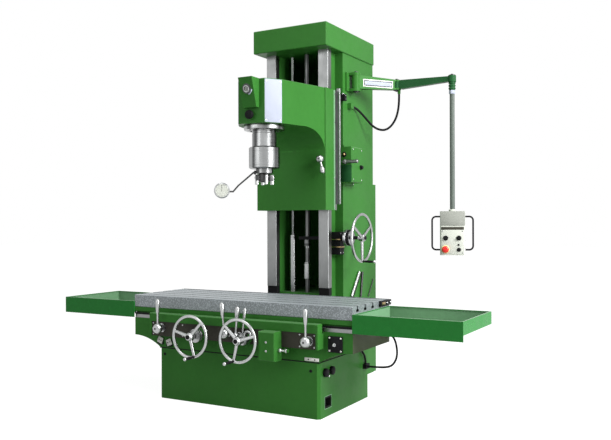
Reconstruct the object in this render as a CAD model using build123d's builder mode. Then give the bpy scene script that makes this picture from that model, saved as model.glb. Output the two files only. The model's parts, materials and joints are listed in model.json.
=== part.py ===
"""Cylinder boring machine: a fixed column carries a vertical spindle head over a table that slides on a bed.

Millimetres. X runs along the table, Y goes back into the machine, Z is up. The spindle axis meets the floor
at the origin.
"""

import os
from math import cos, radians, sin, tan

from build123d import *

# Clearances: pieces that slide, round pieces that turn or slide in a bore, and pieces that pass each other
slide_gap = 0.1
running_gap = 0.05
bore_gap = 0.3
free_gap = 6

# Flat sides of small bars, of rings and of the handwheels' rims
bar_sides = 8
ring_sides = 24
rim_sides = 36
full_turn = 360

# Base
base_half_length = 551
base_depth = 630
base_front = -322
base_back = base_front + base_depth
base_height = 308
base_corner = 14
base_edge = 6
lift_pocket_y = -222
lift_pocket_z = 78
lift_pocket_width = 78
lift_pocket_height = 64
lift_pocket_depth = 40
lift_pocket_corner = 8

# Hidden guide that keeps the bed square while it slides across the base
guide_half_width = 150
guide_height = 20
guide_wall = 10
cross_travel = 60

# Bed on the base, with a cove under each end
bed_overhang = 199
bed_half_length = base_half_length + bed_overhang
bed_front = base_front + 2
bed_depth = 485
bed_back = bed_front + bed_depth
bed_bottom = base_height + slide_gap
cove_rise = 61
cove_top = bed_bottom + cove_rise
cove_radius = (bed_overhang**2 + cove_rise**2) / (2 * cove_rise)
bed_end_height = 107
bed_top = cove_top + bed_end_height
bed_way_height = 22
way_top = bed_top + bed_way_height
bed_way_width = 74
bed_way_inset = 4
bed_way_fronts = (bed_front + bed_way_inset, bed_back - bed_way_inset - bed_way_width)

# Table: a painted lower half that runs on the bed, and the slotted top
table_overlap = 3
table_front = bed_front - table_overlap
table_back = bed_back - 1
runner_height = 20
runner_width = 54
table_base_bottom = way_top + runner_height
table_base_height = 25
table_bottom = table_base_bottom + table_base_height
table_height = 74
table_top = table_bottom + table_height
table_edge = 3
slot_count = 5
slot_pitch = 97
slot_middle = -68
slot_neck = 18
slot_neck_depth = 18
slot_head = 32
slot_head_depth = 14
gutter_width = 22
gutter_depth = 12
gutter_back = 16

# Trays on the table's ends
tray_length = 596
tray_front = table_front - free_gap
tray_back = table_back + 3
tray_sheet = 3
tray_wall = 68
tray_floor = way_top + 11
tray_rim = tray_floor + tray_wall
tray_hem = 9

# Apron on the front of the bed: its lip stands in front of the trays' skirts
apron_half_length = 576
apron_depth = 66
apron_front = bed_front - apron_depth
apron_lip_back = tray_front - free_gap
apron_top = bed_top + 44
apron_slot_floor = bed_top - 10
tray_skirt_bottom = apron_slot_floor + 11
apron_bottom = cove_top + 16
plate_top = apron_slot_floor + 6
plate_end = 12
plate_recess = 12
plate_sheet = 4
plate_front = apron_front + plate_recess - plate_sheet
plate_half_length = apron_half_length - plate_end

# Column: a foot, then a hollow casting that is open in front between the two ways
column_half_width = 263
column_front = 440
column_depth = 578
column_back = column_front + column_depth
column_top = 2176
column_wall = 36
foot_top = 520
neck_depth = 104
neck_back = column_front + neck_depth
neck_half_width = column_half_width - 58
opening_half_width = 160
opening_floor = 600
cavity_half_width = column_half_width - column_wall
cavity_front = neck_back + column_wall
cavity_back = column_back - column_wall

# Ways on the column
way_width = 72
way_depth = 45
way_front = column_front - way_depth
way_outer = opening_half_width + way_width
way_bottom = 640
way_edge = 2
buffer_height = 50

# Covers on the top and at the back of the column
cover_half_width = column_half_width + 10
cover_front = 296
cover_height = 149
cover_top = column_top + cover_height
cover_edge = 4
rear_half_width = column_half_width - 4
rear_depth = 62
rear_height = 1331
rear_edge = 8

# Lifting screw, splined shaft and their bracket in the column's opening
screw_x = -92
screw_y = column_front + 60
screw_radius = 12
screw_tube_radius = 23
screw_tube_height = 380
shaft_x = 30
shaft_y = column_front + 40
shaft_radius = 15
spline_count = 6
spline_width = 7
spline_depth = 3
spline_reach = (shaft_radius**2 - (spline_width / 2) ** 2) ** 0.5
sleeve_radius = 22
sleeve_bottom = 690
sleeve_height = 100
coupling_radius = 21
coupling_height = 44
bracket_z = 950
bracket_height = 20
bracket_end = -16
bracket_half_depth = 34

# Carriage that slides on the ways
carriage_half_width = way_outer + 28
carriage_front = way_front - 80
carriage_bottom = 1141
carriage_height = 772
carriage_top = carriage_bottom + carriage_height
carriage_edge = 4
keeper_thickness = 20
keeper_front = column_front + slide_gap
keeper_back = keeper_front + keeper_thickness
keeper_inner = neck_half_width + 4
nut_bottom = carriage_bottom + 370
nut_height = 80
nut_reach = 34
trip_bar_width = 26
trip_bar_depth = 14
trip_bar_out = 24
trip_bar_bottom = carriage_bottom + 39
trip_bar_height = 746

# Headstock
nose_half_width = 92
nose_front = -142
chamfer_depth = 97
head_half_width = 155
head_root_half_width = carriage_half_width - 10
head_height = 261
head_bottom = carriage_top - head_height
arch_reach = 175
arch_drop = 136
root_bottom = head_bottom - arch_drop
wedge_half_width = 48
wedge_middle = 7
wedge_height = 172
wedge_top = carriage_top
wedge_bottom = wedge_top - wedge_height
wedge_top_depth = 80
wedge_bottom_depth = 30
dial_radius = 21
dial_thickness = 9
dial_x = 8
dial_drop = 67
front_knob_x = -4
front_knob_z = head_bottom + 49
front_knob_radius = 27
front_knob_length = 30

# Spindle
flange_radius = 124
flange_thickness = 30
quill_radius = 74.5
quill_length = 103
quill_bottom = head_bottom - flange_thickness - quill_length
drum_radius = 94
drum_height = 130
drum_bottom = quill_bottom - drum_height
nose_radius = 53
nose_height = 30
spindle_shaft_radius = 30
spindle_shaft_length = 60
cutter_top = drum_bottom - nose_height
cutter_radius = 34
cutter_height = 52
cutter_count = 4
cutter_turn = 45
cutter_width = 20
cutter_reach = 57
cutter_drop = 68

# Centring gauge: a bent arm from the spindle's nose to a dial, drawn in an upright plane through the axis
gauge_turn = 36
gauge_arm_radius = 4
gauge_dial_radius = 48
gauge_dial_depth = 24
gauge_dial_reach = 258
gauge_dial_z = 1256
gauge_root_z = cutter_top + 7
gauge_line = ((0, gauge_root_z), (-66, gauge_root_z), (-158, 1287), (-190, 1250), (-gauge_dial_reach, 1250))

# Handwheels on the apron
wheel_radius = 125
wheel_rim_half_width = 11
wheel_rim_half_depth = 10
wheel_plane = apron_front - 82
wheel_z = apron_bottom + 27
wheel_x = (-206, 122)
wheel_turn = (196, 167)
wheel_hub_radius = 24
wheel_hub_length = 46
wheel_spokes = 3
spoke_radius = 7
handle_length = 96
handle_radius = 6.5
handle_knob_radius = 10.5
handle_knob_length = 20
boss_radius = 30
boss_length = 14
dial_collar_radius = 27
dial_collar_length = 24
wheel_shaft_radius = 11
shaft_grip = 30

# Side handwheel that lifts the head by hand
side_wheel_radius = 160
side_wheel_x = column_half_width + 152
side_wheel_y = neck_back - 32
side_wheel_z = 962
side_wheel_turn = 180
gear_case_bottom = 853
gear_case_height = 147
gear_case_depth = 58
gear_case_out = 5
gear_rib_count = 2
gear_rib_height = 5
side_neck_radius = 22
side_neck_length = 32
side_collar_radius = 52
side_collar_length = 40

# Levers: a round hub, a thin neck and a grip; the four on the apron come first
hub_depth_share = 0.8
grip_share = 0.5
lever_neck_radius = 6
lever_grip_radius = 10
lever_x = (-482, 1, 77, 523)
lever_rise = (50.9, 52.9, 48.9, 44.9)
lever_z = [apron_bottom + rise for rise in lever_rise]
lever_tilt = (0, 6, -5, 0)
lever_hub_radius = (30, 28, 15, 30)
lever_stand_off = 36
lever_pivot_radius = 10
lever_lengths = (176, 176, 162, 176)

# Control box on the apron, with a plunger on its side
control_x = 242
control_width = 106
control_depth = 64
control_drop = 71.1
control_bottom = apron_bottom - control_drop
control_edge = 5
plunger_y = apron_front - 26
plunger_z = control_bottom + 58
plunger_radius = 5
plunger_length = 62
plunger_knob_radius = 10

# Switch plate on the front of the bed
switch_x = 606
switch_size = 86
switch_top = bed_top - 20
switch_sheet = 8
switch_knob_radius = 12
switch_knob_length = 14

# Feed box on the column's right side, with its lever
feed_width = 79
feed_front = neck_back - 28
feed_depth = 162
feed_bottom = 1322
feed_height = 232
feed_edge = 6
feed_flange = 14
feed_flange_sheet = 6
feed_lever_z = feed_bottom + 132
feed_lever_stand_off = 24
feed_pivot_radius = 7
feed_hub_radius = 17
feed_lever_length = 96
feed_lever_tilt = -90

# Limit switch on the column's shoulder
limit_width = 42
limit_depth = 32
limit_out = 29
limit_bottom = 1856
limit_height = 42

# Clamp lever on the carriage
clamp_x = 228
clamp_z = carriage_bottom + 321
clamp_stand_off = 24
clamp_hub_radius = 20
clamp_pivot_radius = 7
clamp_length = 96
clamp_tilt = -166

# Pendant bracket and the two arms
pivot_out = 50
pivot_x = column_half_width + pivot_out
pivot_y = 640
arm_middle = 1992
bracket_plate = 12
bracket_plate_width = 120
lug_thickness = 16
lug_radius = 30
pin_radius = 11
barrel_radius = 28
inner_root_height = 90
inner_end_height = 65
arm_width = 46
fork_thickness = 10
elbow_x = 503
elbow_y = 883
knuckle_radius = 28
outer_root_height = 61
outer_end_height = 33
outer_width = 36
end_x = 903
end_y = 850
end_boss_radius = 26
end_boss_height = 42
spigot_length = 28

# Pendant
fitting_radius = 23
fitting_groove = 4
fitting_height = 54
fitting_rings = 3
fitting_ring_height = 12
nut_radius = 21
nut_depth = 24
nut_sides = 6
tube_radius = 16
pendant_bottom = 848
pendant_height = 284
pendant_top = pendant_bottom + pendant_height
pendant_width = 160
pendant_depth = 92
pendant_edge = 7
pendant_turn = 19
handle_out = 56
handle_bar = 11
handle_bend = 30
handle_height = 226
handle_middle = pendant_bottom + pendant_height / 2
buttons = ((-44, 111, 12, 16), (40, 111, 12, 16), (-46, 38, 22, 24), (40, 36, 10, 10))

# Cables: corner points chosen by eye from the photograph
bend_share = 0.45
cord_sides = 6
conduit_radius = 7.5
conduit_box_x = column_half_width + 28
conduit_box_y = (612, 652)
conduit_box_z = (1816, 1852)
conduit_gland_length = 24
conduit_gland_radius = 11
conduit_points = (
    (277, conduit_box_y[1], 1834),
    (277, 716, 1834),
    (303, 776, 1790),
    (352, 862, 1700),
    (430, 918, 1694),
    (496, 948, 1815),
    (519, 886, 1936),
)
cable_radius = 6
terminal_depth = 24
terminal_half_length = 25
terminal_half_height = 14
terminal_y = 250
terminal_z = 197
bed_terminal_out = (126, 11)
bed_terminal_rise = (111.9, 55.9)
bed_terminal_places = [
    (base_half_length + out, bed_bottom + rise) for out, rise in zip(bed_terminal_out, bed_terminal_rise)
]
cable_1_points = (
    (base_half_length + terminal_depth, 240, 197),
    (672, 240, 197),
    (766, 186, 226),
    (800, 178, 305),
    (768, 178, 420),
    (702, 178, 420),
)
cable_2_points = (
    (563, 240, 211),
    (563, 240, 255),
    (562, 177, 305),
    (562, 177, 350),
)

os.makedirs("parts", exist_ok=True)


def across(y):
    """The upright plane at this Y that faces the operator: its first axis is X, its second Z."""
    return Plane(origin=(0, y, 0), x_dir=(1, 0, 0), z_dir=(0, -1, 0))


def along(x):
    """The upright plane at this X that faces right: its first axis is Y, its second Z."""
    return Plane(origin=(x, 0, 0), x_dir=(0, 1, 0), z_dir=(1, 0, 0))


def upright_plane(origin, turn):
    """The upright plane that faces the operator before this turn to the left, in degrees."""
    angle = radians(turn)
    return Plane(origin=origin, x_dir=(cos(angle), sin(angle), 0), z_dir=(sin(angle), -cos(angle), 0))


def pair(side, a, b):
    """Two limits on one side of the middle plane, lower first."""
    return tuple(sorted((side * a, side * b)))


def block(x, y, z, mode=Mode.ADD):
    """A block between pairs of limits."""
    with Locations(((x[0] + x[1]) / 2, (y[0] + y[1]) / 2, (z[0] + z[1]) / 2)):
        return Box(x[1] - x[0], y[1] - y[0], z[1] - z[0], mode=mode)


def rod(start, end, radius, end_radius=None, mode=Mode.ADD):
    """A round bar, or a taper, from one point to another."""
    a, b = Vector(start), Vector(end)
    low = (Align.CENTER, Align.CENTER, Align.MIN)
    with Locations(Plane(origin=a, z_dir=b - a)):
        if end_radius in (None, radius):
            return Cylinder(radius, (b - a).length, align=low, mode=mode)
        return Cone(radius, end_radius, (b - a).length, align=low, mode=mode)


def bar(start, end, radius, sides):
    """A straight bar with this many flat sides, from one point to another."""
    a, b = Vector(start), Vector(end)
    with BuildSketch(Plane(origin=a, z_dir=b - a), mode=Mode.PRIVATE) as section:
        RegularPolygon(radius, sides)
    return extrude(section.sketch, amount=(b - a).length)


def save(builder, name):
    """Name a finished piece and write it."""
    builder.part.label = name
    export_step(builder.part, "parts/" + name + ".step")


# Base: a plinth with a lifting pocket in each end and the guide for the bed
with BuildPart() as base:
    with BuildSketch():
        with Locations((0, (base_front + base_back) / 2)):
            Rectangle(2 * base_half_length, base_depth)
    extrude(amount=base_height)
    chamfer(base.edges().filter_by(Axis.Z), base_corner)
    chamfer(base.faces().sort_by(Axis.Z)[-1].edges(), base_edge)
    for side in (-1, 1):
        with BuildSketch(along(side * base_half_length)):
            with Locations((lift_pocket_y, lift_pocket_z)):
                RectangleRounded(lift_pocket_width, lift_pocket_height, lift_pocket_corner)
        extrude(amount=-side * lift_pocket_depth, mode=Mode.SUBTRACT)
    guide_front = bed_front + guide_wall + cross_travel + free_gap
    guide_back = bed_back - guide_wall - cross_travel - free_gap
    guide_z = (base_height - guide_height, base_height + guide_height - slide_gap)
    block((-guide_half_width, guide_half_width), (guide_front, guide_back), guide_z)
save(base, "base")

# Bed: one section with coved ends, drawn from the front, and a channel underneath for the guide
with BuildPart() as bed:
    with BuildSketch(across(bed_front)):
        with BuildLine():
            Line((base_half_length, bed_bottom), (-base_half_length, bed_bottom))
            RadiusArc((-base_half_length, bed_bottom), (-bed_half_length, cove_top), -cove_radius)
            Polyline(
                (-bed_half_length, cove_top),
                (-bed_half_length, bed_top),
                (bed_half_length, bed_top),
                (bed_half_length, cove_top),
            )
            RadiusArc((bed_half_length, cove_top), (base_half_length, bed_bottom), -cove_radius)
        make_face()
    extrude(amount=-bed_depth)
    channel = guide_half_width + slide_gap
    channel_y = (bed_front + guide_wall, bed_back - guide_wall)
    block((-channel, channel), channel_y, (bed_bottom, bed_bottom + guide_height), Mode.SUBTRACT)
save(bed, "bed")

with BuildPart() as bed_ways:
    for y in bed_way_fronts:
        block((-bed_half_length, bed_half_length), (y, y + bed_way_width), (bed_top, way_top))
    chamfer(bed_ways.faces().group_by(Axis.Z)[-1].edges().filter_by(Axis.X), way_edge)
save(bed_ways, "bed_ways")

# Table: the painted lower half with its runners, then the top, drawn from the end
with BuildPart() as table_base:
    with BuildSketch(along(-bed_half_length)):
        with Locations(((table_front + table_back) / 2, table_base_bottom + table_base_height / 2)):
            Rectangle(table_back - table_front, table_base_height)
        for y in bed_way_fronts:
            low = way_top + slide_gap
            with Locations((y + bed_way_width / 2, (low + table_base_bottom) / 2)):
                Rectangle(runner_width, table_base_bottom - low)
    extrude(amount=2 * bed_half_length)
save(table_base, "table_base")

with BuildPart() as table:
    with BuildSketch(along(-bed_half_length)) as table_end:
        with Locations(((table_front + table_back) / 2, table_bottom + table_height / 2)):
            Rectangle(table_back - table_front, table_height)
        chamfer(table_end.vertices().group_by(Axis.Z)[-1], table_edge)
        for row in range(slot_count):
            y = slot_middle + (row - (slot_count - 1) / 2) * slot_pitch
            with Locations((y, table_top - slot_neck_depth / 2)):
                Rectangle(slot_neck, slot_neck_depth, mode=Mode.SUBTRACT)
            with Locations((y, table_top - slot_neck_depth - slot_head_depth / 2)):
                Rectangle(slot_head, slot_head_depth, mode=Mode.SUBTRACT)
        with Locations((table_back - gutter_back, table_top - gutter_depth / 2)):
            Rectangle(gutter_width, gutter_depth, mode=Mode.SUBTRACT)
    extrude(amount=2 * bed_half_length)
save(table, "table")


def tray(side):
    """A folded sheet tray on one end of the table, with a hem round its rim and a deeper skirt in front."""
    x = pair(side, bed_half_length, bed_half_length + tray_length)
    inner_x = (x[0] + tray_sheet, x[1] - tray_sheet)
    inner_y = (tray_front + tray_sheet, tray_back - tray_sheet)
    mouth_x = (x[0] + tray_hem, x[1] - tray_hem)
    mouth_y = (tray_front + tray_hem, tray_back - tray_hem)
    with BuildPart() as pan:
        block(x, (tray_front, tray_back), (tray_floor, tray_rim))
        block(inner_x, inner_y, (tray_floor + tray_sheet, tray_rim - tray_sheet), Mode.SUBTRACT)
        block(mouth_x, mouth_y, (tray_floor + tray_sheet, tray_rim), Mode.SUBTRACT)
        block(x, (tray_front, tray_front + tray_sheet), (tray_skirt_bottom, tray_floor))
    return pan


save(tray(-1), "left_tray")
save(tray(1), "right_tray")

# Apron: its section is drawn from the end, and its front is recessed for the plate
with BuildPart() as apron:
    with BuildSketch(along(-apron_half_length)):
        with BuildLine():
            Polyline(
                (apron_front, apron_bottom),
                (bed_front, apron_bottom),
                (bed_front, apron_slot_floor),
                (apron_lip_back, apron_slot_floor),
                (apron_lip_back, apron_top),
                (apron_front, apron_top),
                close=True,
            )
        make_face()
    extrude(amount=2 * apron_half_length)
    plate_x = (-plate_half_length, plate_half_length)
    block(plate_x, (apron_front, apron_front + plate_recess), (apron_bottom, plate_top), Mode.SUBTRACT)
    chamfer(apron.edges().group_by(Axis.Z)[-1].sort_by(Axis.Y)[0], table_edge)
save(apron, "apron")

with BuildPart() as apron_plate:
    block(plate_x, (plate_front, apron_front + plate_recess), (apron_bottom, plate_top))
save(apron_plate, "apron_plate")

# Column: foot, then the plan outline of the casting, hollowed out
with BuildPart() as column:
    foot_x = (-column_half_width, column_half_width)
    block(foot_x, (base_back, column_back), (0, foot_top))
    with BuildSketch(Plane.XY.offset(foot_top)):
        with BuildLine():
            Polyline(
                (-neck_half_width, column_front),
                (neck_half_width, column_front),
                (neck_half_width, neck_back),
                (column_half_width, neck_back),
                (column_half_width, column_back),
                (-column_half_width, column_back),
                (-column_half_width, neck_back),
                (-neck_half_width, neck_back),
                close=True,
            )
        make_face()
    extrude(amount=column_top - foot_top)
    opening_x = (-opening_half_width, opening_half_width)
    block(opening_x, (column_front, cavity_front), (opening_floor, column_top), Mode.SUBTRACT)
    cavity_x = (-cavity_half_width, cavity_half_width)
    block(cavity_x, (cavity_front, cavity_back), (opening_floor, column_top), Mode.SUBTRACT)
save(column, "column")

with BuildPart() as column_ways:
    for side in (-1, 1):
        way_x = pair(side, opening_half_width, way_outer)
        block(way_x, (way_front, column_front), (way_bottom, column_top))
    chamfer(column_ways.faces().group_by(Axis.Y)[0].edges().filter_by(Axis.Z), way_edge)
save(column_ways, "column_ways")

with BuildPart() as way_buffers:
    for side in (-1, 1):
        buffer_x = pair(side, opening_half_width, way_outer)
        block(buffer_x, (way_front + free_gap, column_front), (way_bottom - buffer_height, way_bottom))
save(way_buffers, "way_buffers")

with BuildPart() as top_cover:
    cover_x = (-cover_half_width, cover_half_width)
    block(cover_x, (cover_front, column_back), (column_top, cover_top))
    chamfer(top_cover.edges(), cover_edge)
save(top_cover, "top_cover")

with BuildPart() as rear_cover:
    rear_x = (-rear_half_width, rear_half_width)
    rear_z = (0, rear_height)
    block(rear_x, (column_back, column_back + rear_depth), rear_z)
    chamfer(rear_cover.faces().sort_by(Axis.Y)[-1].edges(), rear_edge)
save(rear_cover, "rear_cover")

# Lifting screw with its lower tube
with BuildPart() as feed_screw:
    screw_foot = (screw_x, screw_y, opening_floor)
    rod(screw_foot, (screw_x, screw_y, column_top), screw_radius)
    rod(screw_foot, (screw_x, screw_y, opening_floor + screw_tube_height), screw_tube_radius)
save(feed_screw, "feed_screw")

# Splined shaft with its sleeve and coupling
with BuildPart() as splined_shaft:
    with BuildSketch(Plane.XY.offset(opening_floor)):
        with Locations((shaft_x, shaft_y)):
            Circle(shaft_radius - spline_depth)
            with PolarLocations(spline_reach - spline_depth, spline_count):
                Rectangle(2 * spline_depth, spline_width)
    extrude(amount=column_top - opening_floor)
    for bottom, radius, height in (
        (sleeve_bottom, sleeve_radius, sleeve_height),
        (bracket_z - coupling_height, coupling_radius, coupling_height),
    ):
        rod((shaft_x, shaft_y, bottom), (shaft_x, shaft_y, bottom + height), radius)
save(splined_shaft, "splined_shaft")

with BuildPart() as shaft_bracket:
    bracket_y = (shaft_y - bracket_half_depth, shaft_y + bracket_half_depth)
    block((bracket_end, opening_half_width), bracket_y, (bracket_z, bracket_z + bracket_height))
    bracket_top = (shaft_x, shaft_y, bracket_z + bracket_height)
    rod((shaft_x, shaft_y, bracket_z), bracket_top, shaft_radius + bore_gap, mode=Mode.SUBTRACT)
save(shaft_bracket, "shaft_bracket")

# Carriage: a C in plan that wraps the ways, closed behind them by the keepers
with BuildPart() as carriage:
    cheek = way_outer + slide_gap
    carriage_back = way_front - slide_gap
    with BuildSketch(Plane.XY.offset(carriage_bottom)):
        with BuildLine():
            Polyline(
                (-carriage_half_width, carriage_front),
                (carriage_half_width, carriage_front),
                (carriage_half_width, keeper_front),
                (cheek, keeper_front),
                (cheek, carriage_back),
                (-cheek, carriage_back),
                (-cheek, keeper_front),
                (-carriage_half_width, keeper_front),
                close=True,
            )
        make_face()
    extrude(amount=carriage_height)
    front_edges = carriage.faces().sort_by(Axis.Y)[0].edges()
    chamfer(front_edges.filter_by(Axis.Z), carriage_edge)
    clamp_hub = (clamp_x, carriage_front - clamp_stand_off, clamp_z)
    rod((clamp_x, carriage_front, clamp_z), clamp_hub, clamp_pivot_radius)
save(carriage, "carriage")

with BuildPart() as keepers:
    for side in (-1, 1):
        keeper_x = pair(side, keeper_inner, carriage_half_width)
        block(keeper_x, (keeper_front, keeper_back), (carriage_bottom, carriage_top))
save(keepers, "keepers")

# Nut for the screw and bush for the splined shaft, on the back of the carriage
with BuildPart() as drive_nut:
    nut_x = (screw_x - nut_reach, shaft_x + nut_reach)
    nut_z = (nut_bottom, nut_bottom + nut_height)
    block(nut_x, (carriage_back, screw_y + nut_reach), nut_z)
    for x, y, radius in (
        (screw_x, screw_y, screw_radius + running_gap),
        (shaft_x, shaft_y, shaft_radius + bore_gap),
    ):
        rod((x, y, nut_z[0]), (x, y, nut_z[1]), radius, mode=Mode.SUBTRACT)
save(drive_nut, "drive_nut")

with BuildPart() as trip_bar:
    bar_x = (carriage_half_width + trip_bar_out - trip_bar_width, carriage_half_width + trip_bar_out)
    bar_z = (trip_bar_bottom, trip_bar_bottom + trip_bar_height)
    block(bar_x, (keeper_back, keeper_back + trip_bar_depth), bar_z)
    chamfer(trip_bar.edges().filter_by(Axis.Z), way_edge)
save(trip_bar, "trip_bar")

# Headstock: the plan outline and the arched side outline meet in one casting, bored for the quill
with BuildPart() as headstock:
    with BuildSketch(Plane.XY.offset(root_bottom)):
        with BuildLine():
            Polyline(
                (-nose_half_width, nose_front),
                (nose_half_width, nose_front),
                (head_half_width, nose_front + chamfer_depth),
                (head_root_half_width, carriage_front),
                (-head_root_half_width, carriage_front),
                (-head_half_width, nose_front + chamfer_depth),
                close=True,
            )
        make_face()
    extrude(amount=head_height + arch_drop)
    with BuildSketch(along(-carriage_half_width)):
        with BuildLine():
            Polyline(
                (carriage_front - arch_reach, head_bottom),
                (nose_front, head_bottom),
                (nose_front, carriage_top),
                (carriage_front, carriage_top),
                (carriage_front, root_bottom),
            )
            EllipticalCenterArc(
                (carriage_front - arch_reach, root_bottom),
                arch_reach,
                arch_drop,
                start_angle=0,
                arc_size=90,
            )
        make_face()
    extrude(amount=2 * carriage_half_width, mode=Mode.INTERSECT)
    chamfer(headstock.faces().sort_by(Axis.Z)[-1].edges().sort_by(Axis.Y)[:-1], table_edge)
save(headstock, "headstock")

# Wedge panel on the nose: its front leans, and stands out further at the top
with BuildPart() as wedge_panel:
    with BuildSketch(along(wedge_middle - wedge_half_width)):
        with BuildLine():
            Polyline(
                (nose_front, wedge_bottom),
                (nose_front, wedge_top),
                (nose_front - wedge_top_depth, wedge_top),
                (nose_front - wedge_bottom_depth, wedge_bottom),
                close=True,
            )
        make_face()
    extrude(amount=2 * wedge_half_width)
save(wedge_panel, "wedge_panel")

wedge_slope = (wedge_top_depth - wedge_bottom_depth) / wedge_height
dial_z = wedge_top - dial_drop
dial_y = nose_front - wedge_top_depth + wedge_slope * dial_drop
dial_plane = Plane(origin=(dial_x, dial_y, dial_z), x_dir=(1, 0, 0), z_dir=(0, -1, -wedge_slope))
with BuildPart() as dial:
    with BuildSketch(dial_plane):
        RegularPolygon(dial_radius, ring_sides)
    extrude(amount=dial_thickness)
save(dial, "dial")

with BuildPart() as front_knob:
    knob_centre = (front_knob_x, nose_front, front_knob_z)
    knob_end = (front_knob_x, nose_front - front_knob_length, front_knob_z)
    bar(knob_centre, knob_end, front_knob_radius, ring_sides)
save(front_knob, "front_knob")

# Spindle housing, from the flange down, bored for the spindle's nose
with BuildPart() as spindle_flange:
    bar((0, 0, head_bottom - flange_thickness), (0, 0, head_bottom), flange_radius, rim_sides)
save(spindle_flange, "spindle_flange")

with BuildPart() as quill:
    bar((0, 0, quill_bottom), (0, 0, head_bottom - flange_thickness), quill_radius, rim_sides)
save(quill, "quill")

with BuildPart() as drum:
    bar((0, 0, drum_bottom), (0, 0, quill_bottom), drum_radius, rim_sides)
    shaft_top = drum_bottom + spindle_shaft_length
    bore = spindle_shaft_radius + running_gap
    rod((0, 0, drum_bottom), (0, 0, shaft_top + slide_gap), bore, mode=Mode.SUBTRACT)
save(drum, "drum")

# Spindle: its shaft turns in the housing
with BuildPart() as spindle_nose:
    bar((0, 0, cutter_top), (0, 0, drum_bottom - slide_gap), nose_radius, ring_sides)
    rod((0, 0, cutter_top), (0, 0, shaft_top), spindle_shaft_radius)
save(spindle_nose, "spindle_nose")

with BuildPart() as cutter_head:
    rod((0, 0, cutter_top - cutter_height), (0, 0, cutter_top), cutter_radius)
    with PolarLocations(0, cutter_count, start_angle=cutter_turn):
        with Locations((cutter_reach / 2, 0, cutter_top - cutter_height / 2)):
            Box(cutter_reach, cutter_width, cutter_height)
        with Locations((cutter_reach - cutter_width / 2, 0, cutter_top - cutter_drop / 2)):
            Box(cutter_width, cutter_width, cutter_drop)
save(cutter_head, "cutter_head")

with BuildPart() as centring_gauge:
    gauge_plane = upright_plane((0, 0, 0), gauge_turn)
    knees = [gauge_plane.from_local_coords((*point, 0)) for point in gauge_line]
    for start, end in zip(knees, knees[1:]):
        bar(start, end, gauge_arm_radius, bar_sides)
    rod((0, 0, cutter_top), (0, 0, drum_bottom), nose_radius, mode=Mode.SUBTRACT)
    dial_back, dial_front = [
        gauge_plane.from_local_coords((-gauge_dial_reach, gauge_dial_z, side * gauge_dial_depth / 2))
        for side in (-1, 1)
    ]
    bar(dial_back, dial_front, gauge_dial_radius, ring_sides)
save(centring_gauge, "centring_gauge")


def handwheel(centre, axis, radius, turn):
    """A spoked wheel with a bored hub; its handle stands on the spoke at this turn from the top."""
    way = Vector(axis)
    face = Plane(origin=centre, x_dir=Vector(0, 0, 1).rotate(Axis((0, 0, 0), axis), turn), z_dir=way)
    rim_middle = radius - wheel_rim_half_width
    back, front = [face.origin + way * (side * wheel_hub_length / 2) for side in (-1, 1)]
    with BuildPart() as wheel:
        with BuildSketch(face):
            RegularPolygon(radius, rim_sides)
            RegularPolygon(radius - 2 * wheel_rim_half_width, rim_sides, mode=Mode.SUBTRACT)
        extrude(amount=wheel_rim_half_depth, both=True)
        for spoke in range(wheel_spokes):
            end = face.x_dir.rotate(Axis((0, 0, 0), axis), spoke * full_turn / wheel_spokes) * rim_middle
            bar(face.origin, face.origin + end, spoke_radius, bar_sides)
        bar(back, front, wheel_hub_radius, ring_sides)
        root = face.origin + face.x_dir * rim_middle
        tip = root + way * handle_length
        bar(root, tip, handle_radius, bar_sides)
        bar(tip - way * handle_knob_length, tip, handle_knob_radius, bar_sides)
        rod(back, back + way * shaft_grip, wheel_shaft_radius + running_gap, mode=Mode.SUBTRACT)
    return wheel


def lever(hub, axis, tilt, hub_radius, length, bore):
    """A lever with a round hub on its pivot, a thin neck and a grip; tilt is measured from straight up."""
    swing_axis = Vector(axis)
    way = Vector(0, 0, 1).rotate(Axis((0, 0, 0), axis), tilt)
    back = Vector(hub) - swing_axis * (hub_radius * hub_depth_share)
    front = Vector(hub) + swing_axis * (hub_radius * hub_depth_share)
    grip = Vector(hub) + way * (length * grip_share)
    with BuildPart() as piece:
        bar(hub, grip, lever_neck_radius, bar_sides)
        bar(grip, Vector(hub) + way * length, lever_grip_radius, bar_sides)
        bar(back, front, hub_radius, ring_sides)
        rod(hub, back, bore + running_gap, mode=Mode.SUBTRACT)
    return piece


# Bearings on the apron: a boss, a graduated collar and a shaft for each wheel, and the levers' pivots
with BuildPart() as apron_bearings:
    hub_back = wheel_plane + wheel_hub_length / 2
    for x in wheel_x:
        boss_front = apron_front - boss_length
        collar_front = boss_front - dial_collar_length
        bar((x, plate_front, wheel_z), (x, boss_front, wheel_z), boss_radius, ring_sides)
        bar((x, boss_front, wheel_z), (x, collar_front, wheel_z), dial_collar_radius, ring_sides)
        rod((x, plate_front, wheel_z), (x, hub_back - shaft_grip + slide_gap, wheel_z), wheel_shaft_radius)
    lever_y = apron_front - lever_stand_off
    for x, z in zip(lever_x, lever_z):
        rod((x, plate_front, z), (x, lever_y, z), lever_pivot_radius)
save(apron_bearings, "apron_bearings")

for number, x in enumerate(wheel_x, 1):
    wheel = handwheel((x, wheel_plane, wheel_z), (0, -1, 0), wheel_radius, wheel_turn[number - 1])
    save(wheel, "handwheel_" + str(number))

lever_sizes = zip(lever_x, lever_z, lever_tilt, lever_hub_radius, lever_lengths)
for number, (x, z, tilt, hub_radius, length) in enumerate(lever_sizes, 1):
    piece = lever((x, lever_y, z), (0, -1, 0), tilt, hub_radius, length, lever_pivot_radius)
    save(piece, "lever_" + str(number))

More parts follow.
